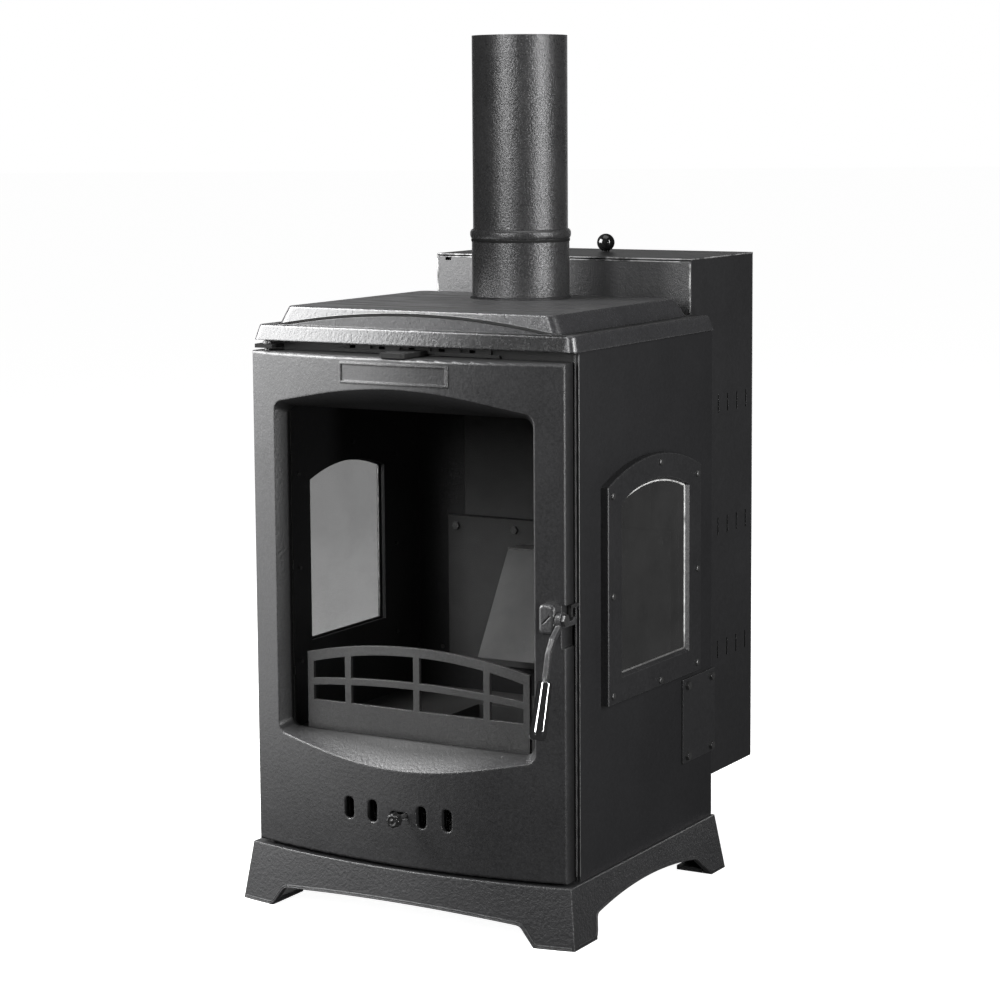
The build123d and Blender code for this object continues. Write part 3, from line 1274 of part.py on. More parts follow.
def hopper_top_cover():
    """Flat cover with the filling hole and one small hole."""
    cover = block(-HOP_X, HOP_X, HOP_FRONT, HOP_BACK, COVER_LOW, HOPPER_TOP)
    cover -= lid_hole(LID_CLEAR, COVER_LOW - 1, HOPPER_TOP + 1)
    return cover - rod_z(VENT_HOLE_R, COVER_LOW - 1, HOPPER_TOP + 1, VENT_X, HOP_BACK - VENT_IN)


def lid_ledge():
    """Sheet ring under the cover that the lid lies on."""
    low = COVER_LOW - HOPPER_SHEET
    ring = block(-LID_W / 2 - LEDGE_OUT, LID_W / 2 + LEDGE_OUT, LID_FRONT - LEDGE_OUT,
                 HOP_BACK - HOPPER_SHEET, low, COVER_LOW)
    return ring - lid_hole(-LEDGE_LAP, low - 1, COVER_LOW + 1)


def hopper_lid():
    """Flat lid, flush with the cover."""
    low = COVER_LOW + PLAY
    lid = lid_hole(0, low, low + LID_T)
    return lid - rod_z(SCREW_R, low - 1, low + LID_T + 1, 0, LID_MID_Y)


def lid_knob():
    """Ball knob on a short neck, with its screw through the lid."""
    low = COVER_LOW + PLAY
    top = low + LID_T
    ball = Pos(0, LID_MID_Y, HOPPER_TOP + LID_KNOB_R) * Sphere(LID_KNOB_R)
    knob = ball + rod_z(KNOB_NECK_R, top, HOPPER_TOP + KNOB_NECK_R, 0, LID_MID_Y)
    return knob + rod_z(SCREW_R, low, top, 0, LID_MID_Y)


def bin_box(inset, top):
    """The pellet bin's block: upright above, narrowing to its outlet below."""
    x = BIN_HALF - inset
    y0 = HOP_FRONT + BIN_FRONT_GAP + inset
    y1 = HOP_BACK - BIN_BACK_GAP - inset
    turn = BIN_TURN_Z
    low = BASE_H + BIN_LOW_Z + inset
    out_x = BIN_OUT_HALF - inset
    out_y = HOP_FRONT + BIN_FRONT_GAP + BIN_OUT_D - inset
    upper = block(-x, x, y0, y1, turn, top)
    wide = Pos(0, (y0 + y1) / 2, turn) * Rectangle(2 * x, y1 - y0)
    narrow = Pos(0, (y0 + out_y) / 2, low) * Rectangle(2 * out_x, out_y - y0)
    return upper + loft([narrow, wide])


def pellet_bin():
    """Sheet bin inside the hopper that narrows down to the chute."""
    top = COVER_LOW - HOPPER_SHEET
    front = HOP_FRONT + BIN_FRONT_GAP
    low = BASE_H + BIN_LOW_Z + BIN_SHEET
    outlet_x = BIN_OUT_HALF - BIN_SHEET
    body = bin_box(0, top) - bin_box(BIN_SHEET, top + 1)
    return body - block(-outlet_x, outlet_x, front - 1, front + BIN_SHEET + 0.5, low, CHUTE_TOP - CHUTE_SHEET)


def bracket_bolt_places():
    """(y, z) of the bolts through a bracket's side leg."""
    back = HOP_FRONT - BRACKET_END_INSET
    front = HOP_FRONT - BRACKET_LEG + BRACKET_END_INSET
    low = BRACKET_LOW + BRACKET_INSET
    high = BRACKET_LOW + BRACKET_H - BRACKET_INSET
    return [(y, z) for y in (front, back) for z in (low, high)]


def rear_bolt_places():
    """(x, z) of the bolts through both brackets' rear legs."""
    x = BODY_X - BRACKET_BACK_LEG + BRACKET_INSET
    low = BRACKET_LOW + BRACKET_INSET
    high = BRACKET_LOW + BRACKET_H - BRACKET_INSET
    return [(side * x, z) for side in (-1, 1) for z in (low, high)]


def corner_bracket():
    """Right angle bracket that joins the hopper to the body."""
    out = BODY_X + BRACKET_T
    high = BRACKET_LOW + BRACKET_H
    bracket = block(BODY_X, out, HOP_FRONT - BRACKET_LEG, HOP_FRONT, BRACKET_LOW, high)
    bracket += block(out - BRACKET_BACK_LEG, out, BODY_Y, HOP_FRONT, BRACKET_LOW, high)
    for y, z in bracket_bolt_places():
        bracket -= rod_x(BOLT_R, BODY_X - 1, out + 1, y, z)
    for x, z in rear_bolt_places():
        bracket -= rod_y(BOLT_R, BODY_Y - 1, HOP_FRONT + 1, x, z)
    return bracket


def bracket_bolts():
    """Hexagon bolts through the side legs, and through the rear legs into the hopper."""
    out = BODY_X + BRACKET_T
    bolts = []
    for y, z in bracket_bolt_places():
        head = Pos(out, y, z) * extrude(Plane.YZ * RegularPolygon(BOLT_HEAD_R, 6), amount=BOLT_HEAD_H)
        bolt = head + rod_x(BOLT_R, IN_X, out, y, z)
        bolts += [bolt, mirrored(bolt)]
    inside = HOP_FRONT + HOPPER_SHEET
    for x, z in rear_bolt_places():
        head = Pos(x, 0, z) * xz_prism(RegularPolygon(BOLT_HEAD_R, 6), inside, inside + BOLT_HEAD_H)
        bolts.append(head + rod_y(BOLT_R, IN_Y, inside, x, z))
    return group(bolts)


def stove():
    """Every node of the stove by name, in the firebox's frame."""
    window_right = window_frame()
    glass_right = side_glass()
    gasket = side_glass_gasket()
    screws = window_screws()
    bracket = corner_bracket()
    side = side_panel()
    hopper_side = hopper_side_panel()
    return {
        "base_plinth": base_plinth(),
        "body_bottom_plate": body_bottom_plate(),
        "side_panel_right": side,
        "side_panel_left": mirrored(side),
        "rear_panel": rear_panel(),
        "front_frame": front_frame(),
        "top_plate": top_plate(),
        "flue_collar": flue_collar(),
        "flue_pipe_lower": flue_pipe_lower(),
        "flue_pipe_upper": flue_pipe_upper(),
        "door_casting": door_casting(),
        "door_glass": door_glass(),
        "door_glass_gasket": door_glass_gasket(),
        "door_glass_clips": door_glass_clips(),
        "door_clip_screws": door_clip_screws(),
        "door_rope_seal": door_rope_seal(),
        "air_slide_plate": air_slide_plate(),
        "air_slide_rails": air_slide_rails(),
        "air_slide_stud": air_slide_stud(),
        "air_slide_knob": air_slide_knob(),
        "handle_boss": handle_boss(),
        "handle_spindle": handle_spindle(),
        "handle_lever": handle_lever(),
        "handle_grip": handle_grip(),
        "latch_keeper": latch_keeper(),
        "top_hinge_bracket": top_hinge_bracket(),
        "hinge_pins": hinge_pins(),
        "hinge_washer": hinge_washer(),
        "air_wash_slider": air_wash_slider(),
        "air_wash_rails": air_wash_rails(),
        "air_wash_channel": air_wash_channel(),
        "window_frame_right": window_right,
        "window_frame_left": mirrored(window_right),
        "side_glass_right": glass_right,
        "side_glass_left": mirrored(glass_right),
        "side_glass_gaskets": group([gasket, mirrored(gasket)]),
        "window_screws": group(screws + [mirrored(screw) for screw in screws]),
        "firebox_floor": firebox_floor(),
        "burn_pot": burn_pot(),
        "ash_pan": ash_pan(),
        "ash_pan_rests": ash_pan_rests(),
        "baffle_plate": baffle_plate(),
        "baffle_rests": baffle_rests(),
        "rear_liner": rear_liner(),
        "chute_plate": chute_plate(),
        "chute_plate_bolts": chute_plate_bolts(),
        "feed_chute": feed_chute(),
        "front_retainer": front_retainer(),
        "hopper_front_panel": hopper_front_panel(),
        "hopper_side_right": hopper_side,
        "hopper_side_left": mirrored(hopper_side),
        "hopper_rear_panel": hopper_rear_panel(),
        "hopper_bottom_panel": hopper_bottom_panel(),
        "hopper_top_cover": hopper_top_cover(),
        "lid_ledge": lid_ledge(),
        "hopper_lid": hopper_lid(),
        "lid_knob": lid_knob(),
        "pellet_bin": pellet_bin(),
        "corner_brackets": group([bracket, mirrored(bracket)]),
        "bracket_bolts": bracket_bolts(),
    }


pieces = stove()
whole = Compound(children=[one(shape) for shape in pieces.values()]).bounding_box()
CENTRE_Y = (whole.min.Y + whole.max.Y) / 2

os.makedirs("parts", exist_ok=True)
for name, shape in pieces.items():
    export_step(Pos(0, -CENTRE_Y, 0) * one(shape), f"parts/{name}.step")
print("moved along Y by", round(-CENTRE_Y, 4), "nodes", len(pieces))
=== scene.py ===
"""The looks of a small cast pellet stove: black iron, grey pipe, glass and a bright handle."""

import bmesh
import bpy
import math
import numpy as np
from mathutils import Matrix, Vector


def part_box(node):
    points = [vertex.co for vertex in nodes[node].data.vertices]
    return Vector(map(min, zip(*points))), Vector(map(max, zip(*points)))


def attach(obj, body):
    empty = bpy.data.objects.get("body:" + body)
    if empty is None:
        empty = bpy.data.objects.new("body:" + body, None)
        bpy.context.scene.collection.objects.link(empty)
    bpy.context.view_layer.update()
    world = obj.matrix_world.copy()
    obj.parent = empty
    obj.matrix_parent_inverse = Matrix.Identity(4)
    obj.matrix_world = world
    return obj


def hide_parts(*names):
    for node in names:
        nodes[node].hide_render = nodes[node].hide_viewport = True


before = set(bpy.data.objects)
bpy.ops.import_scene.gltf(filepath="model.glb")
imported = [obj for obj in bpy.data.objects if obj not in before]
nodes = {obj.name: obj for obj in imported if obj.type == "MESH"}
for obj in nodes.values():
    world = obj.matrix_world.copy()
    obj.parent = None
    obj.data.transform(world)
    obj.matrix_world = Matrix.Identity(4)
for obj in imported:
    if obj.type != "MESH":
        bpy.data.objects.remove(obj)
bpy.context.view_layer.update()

# Camera, floor and light.
# The stove stands on a plain pale floor in soft studio light.
# The camera looks from the right of the door, a little above the middle of the stove.
camera_data = bpy.data.cameras.new("camera")
camera_data.lens = 97.61
camera_data.sensor_width = 36.0
camera_data.shift_y = -0.06
camera_data.clip_end = 50.0
camera = bpy.data.objects.new("camera", camera_data)
bpy.context.scene.collection.objects.link(camera)
camera_place = (1.7766, -3.114326, 1.02006)
yaw = math.radians(29.884)
pitch = math.radians(6.853)
roll = math.radians(-0.378)
back = Vector((math.sin(yaw) * math.cos(pitch), -math.cos(yaw) * math.cos(pitch), math.sin(pitch)))
level = Vector((math.cos(yaw), math.sin(yaw), 0.0))
upright = back.cross(level)
right = math.cos(roll) * level + math.sin(roll) * upright
up = math.cos(roll) * upright - math.sin(roll) * level
turned = Matrix((right, up, back)).transposed().to_4x4()
camera.matrix_world = Matrix.Translation(camera_place) @ turned
bpy.context.scene.camera = camera
bpy.context.scene.view_settings.view_transform = "Standard"


class Wire:
    """A shader socket as a value: sums, products and powers of it add Math nodes."""

    def __init__(self, finish, socket):
        self.finish = finish
        self.socket = socket

    def maths(self, operation, *terms):
        return self.finish.node("Math", {"operation": operation}, *terms)

    def __add__(self, other):
        return self.maths("ADD", self, other)

    def __radd__(self, other):
        return self.maths("ADD", other, self)

    def __sub__(self, other):
        return self.maths("SUBTRACT", self, other)

    def __rsub__(self, other):
        return self.maths("SUBTRACT", other, self)

    def __mul__(self, other):
        return self.maths("MULTIPLY", self, other)

    def __rmul__(self, other):
        return self.maths("MULTIPLY", other, self)

    def __pow__(self, other):
        return self.maths("POWER", self, other)


class Finish:
    """A material whose shader nodes are added one call at a time.

    Its place is the Object coordinates, which are the stove's own.
    """

    def __init__(self, name):
        self.material = bpy.data.materials.new(name)
        self.material.use_nodes = True
        self.tree = self.material.node_tree
        self.tree.nodes.clear()
        self.place = self.node("TexCoord", result="Object")

    def node(self, kind, settings=None, *values, result=None, **named):
        """Adds one node: first its settings, then its sockets in order or by name."""
        made = self.tree.nodes.new("ShaderNode" + kind)
        for key, value in (settings or {}).items():
            setattr(made, key, value)
        inputs = [socket for socket in made.inputs if socket.enabled]
        for socket, value in zip(inputs, values):
            self.fill(socket, value)
        by_name = {socket.name.replace(" ", "_").lower(): socket for socket in reversed(inputs)}
        for key, value in named.items():
            self.fill(by_name[key], value)
        outputs = [socket for socket in made.outputs
                   if socket.enabled and result in (None, socket.name)]
        return Wire(self, outputs[0] if outputs else None)

    def fill(self, socket, value):
        """Links a wire to a socket, or sets the socket's own value."""
        if isinstance(value, Wire):
            self.tree.links.new(value.socket, socket)
        else:
            socket.default_value = value

    def done(self, shader):
        """Ends the material in this shader."""
        self.node("OutputMaterial", None, shader)
        return self.material


def grey(level, blue=0.0):
    """An opaque grey, with a little more or less in its blue channel where asked."""
    return (level, level, level + blue, 1.0)


def softbox(name, place, aim, size, radiance):
    """A flat area light at a place, turned towards its aim.

    Its watts are four times its radiance times its area.
    """
    data = bpy.data.lights.new(name, "AREA")
    data.shape = "RECTANGLE"
    data.size, data.size_y = size
    data.energy = 4.0 * radiance * size[0] * size[1]
    light = bpy.data.objects.new(name, data)
    bpy.context.scene.collection.objects.link(light)
    light.location = place
    light.rotation_euler = (Vector(aim) - Vector(place)).to_track_quat("-Z", "Y").to_euler()
    return light


def screen(lights, pieces, state="EXCLUDE"):
    """Keeps the lights off the pieces, or lights only them where the state is INCLUDE."""
    for light in lights:
        linking = light.light_linking
        if linking.receiver_collection is None:
            linking.receiver_collection = bpy.data.collections.new(light.name + "_screen")
        for piece in pieces:
            linking.receiver_collection.objects.link(piece)
        for entry in linking.receiver_collection.collection_objects:
            entry.light_linking.link_state = state


# Three keys stand at the left in front, one above the other, and dimmer towards the floor.
key_high = softbox("key_high", (-1.10, -0.71, 1.385), (-0.457, 0.056, 1.385), (1.16, 1.10), 17.0)
key_mid = softbox("key_mid", (-1.09, -0.72, 0.665), (-0.447, 0.046, 0.665), (1.5, 0.27), 3.6)
key_low = softbox("key_low", (-1.09, -0.72, 0.25), (-0.447, 0.046, 0.25), (1.5, 0.6), 1.8)
# One light at the left and one at the right are for the cast top alone.
key_top = softbox("key_top", (-1.06, -0.66, 1.62), (-0.417, 0.106, 1.2), (1.16, 0.4), 22.0)
corner_strip = softbox("corner_strip", (1.72, -0.80, 1.62), (0.2, -0.1, 0.76), (0.3, 0.6), 42.0)
# Narrow strips draw the bright lines down the edges, the pipe and the hopper.
edge_strip = softbox("edge_strip", (1.645, -0.95, 0.45), (0.0, 0.0, 0.45), (0.14, 0.7), 36.0)
softbox("right_strip", (1.88, -0.20, 1.15), (0.0, 0.03, 1.15), (0.25, 1.45), 19.0)
front_strip = softbox("front_strip", (-0.19, -2.15, 1.4), (0.0, 0.0, 1.0), (0.4, 0.9), 18.0)
# The last three fill in weakly from above and from behind.
softbox("overhead", (0.1, -0.1, 2.6), (0.1, -0.1, 0.0), (1.6, 1.6), 1.5)
softbox("back_glow", (-1.3, 2.6, 0.9), (0.0, 0.0, 0.8), (2.4, 1.2), 0.5)
back_fill = softbox("back_fill", (0.7, 2.7, 0.9), (0.0, 0.3, 0.6), (1.6, 1.7), 2.2)
keys = (key_high, key_mid, key_low, edge_strip)
screen(keys, [nodes[name] for name in (
    "flue_pipe_lower", "flue_pipe_upper", "door_glass", "side_glass_right", "side_glass_left")])
screen((key_high,), [nodes[name] for name in (
    "front_frame", "air_wash_channel", "air_wash_rails", "air_wash_slider", "top_hinge_bracket")])
screen((key_top, corner_strip), [nodes["top_plate"]], "INCLUDE")
screen((back_fill,), [nodes[name] for name in (
    "hopper_rear_panel", "rear_panel", "base_plinth")], "INCLUDE")
screen((front_strip,), [nodes["door_casting"], nodes["door_glass"]])

# The room is white to the camera, and sheds a twentieth of that on the stove.
room = bpy.data.worlds.new("room")
room.use_nodes = True
bpy.context.scene.world = room
sky = room.node_tree.nodes["Background"]
seen = room.node_tree.nodes.new("ShaderNodeLightPath").outputs["Is Camera Ray"]
strength = room.node_tree.nodes.new("ShaderNodeMapRange")
strength.inputs["To Min"].default_value = 0.05
strength.inputs["To Max"].default_value = 1.0
room.node_tree.links.new(seen, strength.inputs["Value"])
room.node_tree.links.new(strength.outputs["Result"], sky.inputs["Strength"])
sky.inputs["Color"].default_value = grey(1.0)

floor_finish = Finish("pale_floor")
floor_tone = floor_finish.node("TexNoise", None, vector=floor_finish.place, scale=3.0, detail=2.0)
floor_shader = floor_finish.node("BsdfPrincipled", None, base_color=grey(0.55),
                                 roughness=0.8 + 0.1 * floor_tone, specular_ior_level=0.0,
                                 emission_color=grey(1.0), emission_strength=0.96)
floor_reach = 60.0
floor_corners = [(side * floor_reach, end * floor_reach, 0.0)
                 for side, end in ((-1, -1), (1, -1), (1, 1), (-1, 1))]
floor_mesh = bpy.data.meshes.new("floor")
floor_mesh.from_pydata(floor_corners, [], [(0, 1, 2, 3)])
floor_mesh.materials.append(floor_finish.done(floor_shader))
floor_sheet = bpy.data.objects.new("floor", floor_mesh)
bpy.context.scene.collection.objects.link(floor_sheet)
floor_sheet.visible_diffuse = False
floor_sheet.visible_glossy = False

# Cast base.
# One iron casting on four splayed feet, with shallow arches between them.
# It is painted with black stove paint, lighter in specks along its edges: worn bare iron and a
# painted highlight.
blend = {"data_type": "RGBA"}
clamped = {"operation": "MULTIPLY", "use_clamp": True}
deep_black = grey(0.004)


def shade_of(colour, factor=1.0, lift=0.0):
    """A colour times a factor, with the same lift added to each channel, and opaque."""
    return tuple(factor * channel + lift for channel in colour) + (1.0,)


def painted_iron(name, black, gloss, grain_height, edge_radius, streaks=False, soot=None):
    """Stove paint on cast iron.

    Fine sand grain and wider pits make the bump. The edge mask is one less the dot product of the
    surface's normal and the normal rounded over its edges, so it rises towards each edge.
    Where it meets the pits the colour is lighter: worn bare iron and a painted highlight.
    With streaks, a noise drawn out along X darkens level faces, and the rim under them is painted
    darker towards its right corner: painted shade. With soot, the paint darkens between two
    distances behind an arc with a sagitta of 0.525 times the square of X: soot and painted shade
    in the door's splay. Painted shade is near black and part metallic, so it mirrors next to
    nothing.
    """
    finish = Finish(name)
    place = finish.place
    grain = finish.node("TexNoise", None, vector=place, scale=520.0, detail=2.0, roughness=0.6)
    pits = finish.node("TexNoise", None, vector=place, scale=230.0, detail=1.0, roughness=0.5)
    wide = finish.node("TexNoise", None, vector=place, scale=11.0, detail=3.0, roughness=0.55)
    rounded = finish.node("Bevel", {"samples": 4}, edge_radius)
    flat = finish.node("NewGeometry", result="Normal")
    match = finish.node("VectorMath", {"operation": "DOT_PRODUCT"}, rounded, flat, result="Value")
    edge = finish.node("Math", clamped, 1.0 - match, 6.0)
    edge_wear_and_highlight = finish.node("Math", clamped, edge * pits, 1.5)
    tone = 0.5 + 0.5 * wide + 0.9 * (grain - 0.5) + 0.5 * (pits - 0.5)
    paint = finish.node("Mix", blend, tone - 0.25, shade_of(black, 0.5), shade_of(black, 1.5))
    # Lighter specks along the edges: worn bare iron and a painted highlight.
    colour = finish.node("Mix", blend, edge_wear_and_highlight * 0.6, paint, shade_of(black, lift=0.10))
    rough = gloss + 0.12 * (grain - 0.5) + 0.1 * (pits - 0.5) + 0.1 * (wide - 0.5) - 0.08 * edge
    height = 0.7 * grain + 0.9 * pits
    painted_shade = 0.0
    if streaks:
        upward = finish.node("SeparateXYZ", None, flat, result="Z")
        level_part = finish.node("MapRange", None, upward, from_min=0.9, from_max=0.99)
        drawn = finish.node("VectorMath", {"operation": "MULTIPLY"}, place, (9.0, 44.0, 0.0))
        lines = finish.node("TexNoise", None, vector=drawn, scale=1.0, detail=3.0, roughness=0.6)
        height = height + level_part * lines * 11.0
        shade = finish.node("MapRange", None, lines, from_min=0.4, from_max=0.6,
                            to_min=0.85, to_max=0.0)
        colour = finish.node("Mix", blend, level_part * shade, colour, grey(0.008))
        rough = rough + level_part * (0.15 + 0.25 * shade)
        across = finish.node("SeparateXYZ", None, place, result="X")
        raised = finish.node("SeparateXYZ", None, place, result="Z")
        # The rim's right part below the field, up to its rounded corner, is painted near black and
        # loses its mirror: painted shade.
        on_rim = finish.node("MapRange", None, raised, from_min=0.7540, from_max=0.7530)
        rightward = finish.node("MapRange", None, across, from_min=-0.06, from_max=0.12)
        before_corner = finish.node("MapRange", None, across, from_min=0.2195, from_max=0.2225,
                                    to_min=1.0, to_max=0.0)
        painted_shade = 0.72 * on_rim * rightward * before_corner
        colour = finish.node("Mix", blend, painted_shade, colour, deep_black)
    if soot:
        # The door's splay behind the lip is darkened, and loses its mirror on steep faces: soot
        # and painted shade.
        across = finish.node("SeparateXYZ", None, place, result="X")
        inward = finish.node("SeparateXYZ", None, place, result="Y") - 0.525 * across * across
        soot_and_shade = finish.node("MapRange", None, inward, from_min=soot[0], from_max=soot[1],
                               to_max=0.85)
        colour = finish.node("Mix", blend, soot_and_shade, colour, deep_black)
        rough = rough + 0.3 * soot_and_shade
        upward = finish.node("SeparateXYZ", None, flat, result="Z")
        steep = finish.node("MapRange", None, upward, from_min=0.2, from_max=0.7,
                            to_min=1.0, to_max=0.3)
        painted_shade = 0.75 * soot_and_shade * steep
    bumped = finish.node("Bump", None, height=height, distance=grain_height, strength=1.0,
                         normal=rounded)
    return finish.done(finish.node("BsdfPrincipled", None, base_color=colour, metallic=painted_shade,
                                   roughness=rough, normal=bumped))


def dress(material, *names):
    """Gives the frame's nodes of these names the material."""
    for name in names:
        for slot in nodes[name].material_slots:
            slot.material = material


def line_of(x, y, z):
    """A path from its coordinates, each an array or one number that holds all along."""
    return np.stack(np.broadcast_arrays(x, y, z), axis=-1)


def unit(vectors):
    """Rows of vectors, each over its own length."""
    return vectors / np.linalg.norm(vectors, axis=1)[:, None]


def carry(path, side, rise, profile, swell=1.0):
    """A profile carried along a path.

    Each point is the path's, plus the profile's first number times the sideways direction there,
    plus its second number times the upward one. Either direction is one vector where it holds
    all along. The swell multiplies the profile, and may change along the path.
    """
    side = np.broadcast_to(side, path.shape)[:, None, :]
    rise = np.broadcast_to(rise, path.shape)[:, None, :]
    sized = np.broadcast_to(swell, len(path))[:, None, None] * profile[None]
    return path[:, None, :] + sized[..., :1] * side + sized[..., 1:] * rise


def shell(name, grid, material, body, ring=False):
    """A closed skin through rows of points that each join round.

    In a ring the last row joins the first. Otherwise one face closes each end.
    """
    rows, columns = grid.shape[:2]
    index = np.arange(rows * columns).reshape(rows, columns)
    onward = np.roll(index, -1, axis=0) if ring else index[1:]
    here = index if ring else index[:-1]
    quads = np.stack((here, np.roll(here, -1, axis=1), np.roll(onward, -1, axis=1), onward),
                     axis=-1)
    faces = quads.reshape(-1, 4).tolist()
    if not ring:
        faces += [index[0].tolist(), index[-1].tolist()]
    skin = bpy.data.meshes.new(name)
    skin.from_pydata(grid.reshape(-1, 3).tolist(), [], faces)
    loose = bmesh.new()
    loose.from_mesh(skin)
    bmesh.ops.recalc_face_normals(loose, faces=loose.faces)
    loose.to_mesh(skin)
    loose.free()
    skin.shade_smooth()
    skin.set_sharp_from_angle(angle=0.8)
    skin.materials.append(material)
    piece = bpy.data.objects.new(name, skin)
    bpy.context.scene.collection.objects.link(piece)
    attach(piece, body)
    return piece


def eased(corners, step, reach):
    """A line through corners, softened at each.

    It is cut in even steps, and each point is then a mean of its neighbours, as many on either
    side as the reach says.
    """
    corners = np.array(corners, float)
    run = np.concatenate(([0.0], np.cumsum(np.linalg.norm(np.diff(corners, axis=0), axis=1))))
    even = np.linspace(0.0, run[-1], int(run[-1] / step) + 1)
    line = np.stack([np.interp(even, run, column) for column in corners.T], axis=-1)
    wide = np.concatenate((np.repeat(line[:1], reach, axis=0), line,
                           np.repeat(line[-1:], reach, axis=0)))
    sums = np.cumsum(np.concatenate((np.zeros((1, line.shape[1])), wide)), axis=0)
    return (sums[2 * reach + 1:] - sums[:-2 * reach - 1]) / (2 * reach + 1)


base_paint = painted_iron("base_paint", (0.020, 0.020, 0.021), 0.42, 0.0006, 0.0025)
dress(base_paint, "base_plinth")
# The pipe's axis lies 80 mm behind the middle of the body.
pipe_setback = 0.080
pipe_low, pipe_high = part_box("flue_pipe_lower")
middle_y = 0.5 * (pipe_low.y + pipe_high.y) - pipe_setback
# Beaded lips edge the base's arches, 4.8 mm wide; the profile is in millimetres over 1000.
lip_half = 0.0024
lip_profile = np.array([(-2.4, -0.6), (-2.3, 0.5), (-1.6, 1.3), (-0.8, 1.3), (-0.2, 0.6),
                        (0.2, 0.6), (0.8, 1.3), (1.6, 1.3), (2.3, 0.5), (2.4, -0.6)]) / 1000.0
# The skirt's half width is 246.5 mm less 10 mm for every 75 mm of height, and its front is an
# arc of 1102 mm radius.
skirt_half = 0.2465
skirt_front = 0.2598
skirt_draft = 0.1333
skirt_arc = 1.102


def arch_line(left, right, bend, top, drop, middle, half):
    """The line of a lip along one side, flat under each foot and bowed over the arch.

    Over the arch its height is the top less the drop times the square of the distance from the
    arch's middle over its half width.
    """
    over = zip(bend, top - drop * ((bend - middle) / half) ** 2)
    return eased([*left, *over, *right], 0.0025, 2)


def base_lip(name, path, out):
    """A lip along a path that stands out from the skirt, cut off level at the floor."""
    grid = carry(path, np.cross(unit(np.gradient(path, axis=0)), out), out, lip_profile)
    grid[..., 0] = np.clip(grid[..., 0], 0.0001 - skirt_half, skirt_half - 0.0001)
    grid[..., 2] = np.maximum(grid[..., 2], 0.0)
    shell(name, grid, base_paint, "stove")


arch_x, arch_z = arch_line([(-0.2445, lip_half), (-0.1952, lip_half), (-0.1764, 0.0270)],
                           [(0.1764, 0.0270), (0.1952, lip_half), (0.2445, lip_half)],
                           np.linspace(-0.170, 0.170, 35), top=0.0364, drop=0.0090,
                           middle=0.0, half=0.1764).T
arch_y = (middle_y - skirt_front + skirt_draft * arch_z + skirt_arc
          - np.sqrt(skirt_arc ** 2 - arch_x ** 2))
turn_x = arch_x / skirt_arc
base_lip("base_lip_front", line_of(arch_x, arch_y, arch_z),
         unit(line_of(turn_x, -np.sqrt(1.0 - turn_x ** 2), 0.13)))
arch_y, arch_z = arch_line([(-0.2290, lip_half), (-0.1734, lip_half), (-0.1672, 0.0318)],
                           [(0.1192, 0.0318), (0.1592, lip_half), (0.1975, lip_half)],
                           np.linspace(-0.160, 0.110, 28), top=0.0454, drop=0.0130,
                           middle=-0.024, half=0.142).T
sides = ((1.0, "right"), (-1.0, "left"))
for side, name in sides:
    side_path = line_of(side * (skirt_half - skirt_draft * arch_z), middle_y + arch_y, arch_z)
    base_lip("base_lip_" + name, side_path, np.tile((side * 0.991, 0.0, 0.132), (len(arch_y), 1)))


# Steel body.
# Folded and welded 4 mm sheet: floor, sides, back and front frame, sprayed with the same black.
# Sheet is smoother than iron: a fine powder grain with faint long waves from rolling.
def painted_sheet(name, black, gloss, grain_height, skin=None):
    """Heat paint on rolled sheet.

    The bump is a fine even grain, and a slow noise turns the colour and the gloss a little.
    Every edge is mixed towards a lighter grey: rubbed paint and a painted highlight.
    A skin is a distance from the middle along X: what lies nearer than that, the slots' cut
    walls, is dead black without a mirror: painted shade.
    """
    finish = Finish(name)
    place = finish.place
    grain = finish.node("TexNoise", None, vector=place, scale=420.0, detail=3.0, roughness=0.6)
    pits = finish.node("TexNoise", None, vector=place, scale=170.0, detail=2.0, roughness=0.5)
    cloud = finish.node("TexNoise", None, vector=place, scale=7.0, detail=3.0, roughness=0.6)
    rounded = finish.node("Bevel", {"samples": 3}, 0.0004 if skin else 0.0012)
    flat = finish.node("NewGeometry", result="Normal")
    match = finish.node("VectorMath", {"operation": "DOT_PRODUCT"}, rounded, flat, result="Value")
    edge = finish.node("Math", clamped, 1.0 - match, 5.0)
    tone = 0.5 * cloud + 0.8 * grain + 0.6 * pits - 0.45
    paint = finish.node("Mix", blend, tone, shade_of(black, 0.6), shade_of(black, 1.4))
    # Every edge is mixed towards a lighter grey: rubbed paint and a painted highlight.
    colour = finish.node("Mix", blend, edge * 0.6, paint, shade_of(black, lift=0.10))
    rough = gloss + 0.1 * (grain - 0.5) + 0.12 * (cloud - 0.5)
    painted_slot_shade = 0.0
    if skin:
        across = finish.node("SeparateXYZ", None, place, result="X")
        off_middle = finish.node("Math", {"operation": "ABSOLUTE"}, across)
        painted_slot_shade = finish.node("MapRange", None, off_middle, from_min=skin, from_max=skin - 0.0003)
        colour = finish.node("Mix", blend, painted_slot_shade, colour, grey(0.001))
        rough = rough + 0.4 * painted_slot_shade
    bumped = finish.node("Bump", None, height=grain + 1.5 * pits, distance=grain_height,
                         strength=1.0, normal=rounded)
    return finish.done(finish.node("BsdfPrincipled", None, base_color=colour, metallic=painted_slot_shade,
                                   roughness=rough, normal=bumped))


side_paint = painted_sheet("side_paint", (0.012, 0.012, 0.013), 0.5, 0.0002)
dress(side_paint, "body_bottom_plate", "side_panel_right", "side_panel_left", "rear_panel")

# Cast top.
# One iron casting laid on the body's upper edge: a thick rim with rounded edges around a raised
# field, and an eyebrow step over the door.
# The field's face keeps the long shallow streaks of its sand mould.
top_paint = painted_iron("top_paint", (0.018, 0.018, 0.019), 0.25, 0.00022, 0.0022, streaks=True)
dress(top_paint, "top_plate")
straight_up = (0.0, 0.0, 1.0)
to_front = (0.0, -1.0, 0.0)
to_back = (0.0, 1.0, 0.0)
to_right = (1.0, 0.0, 0.0)


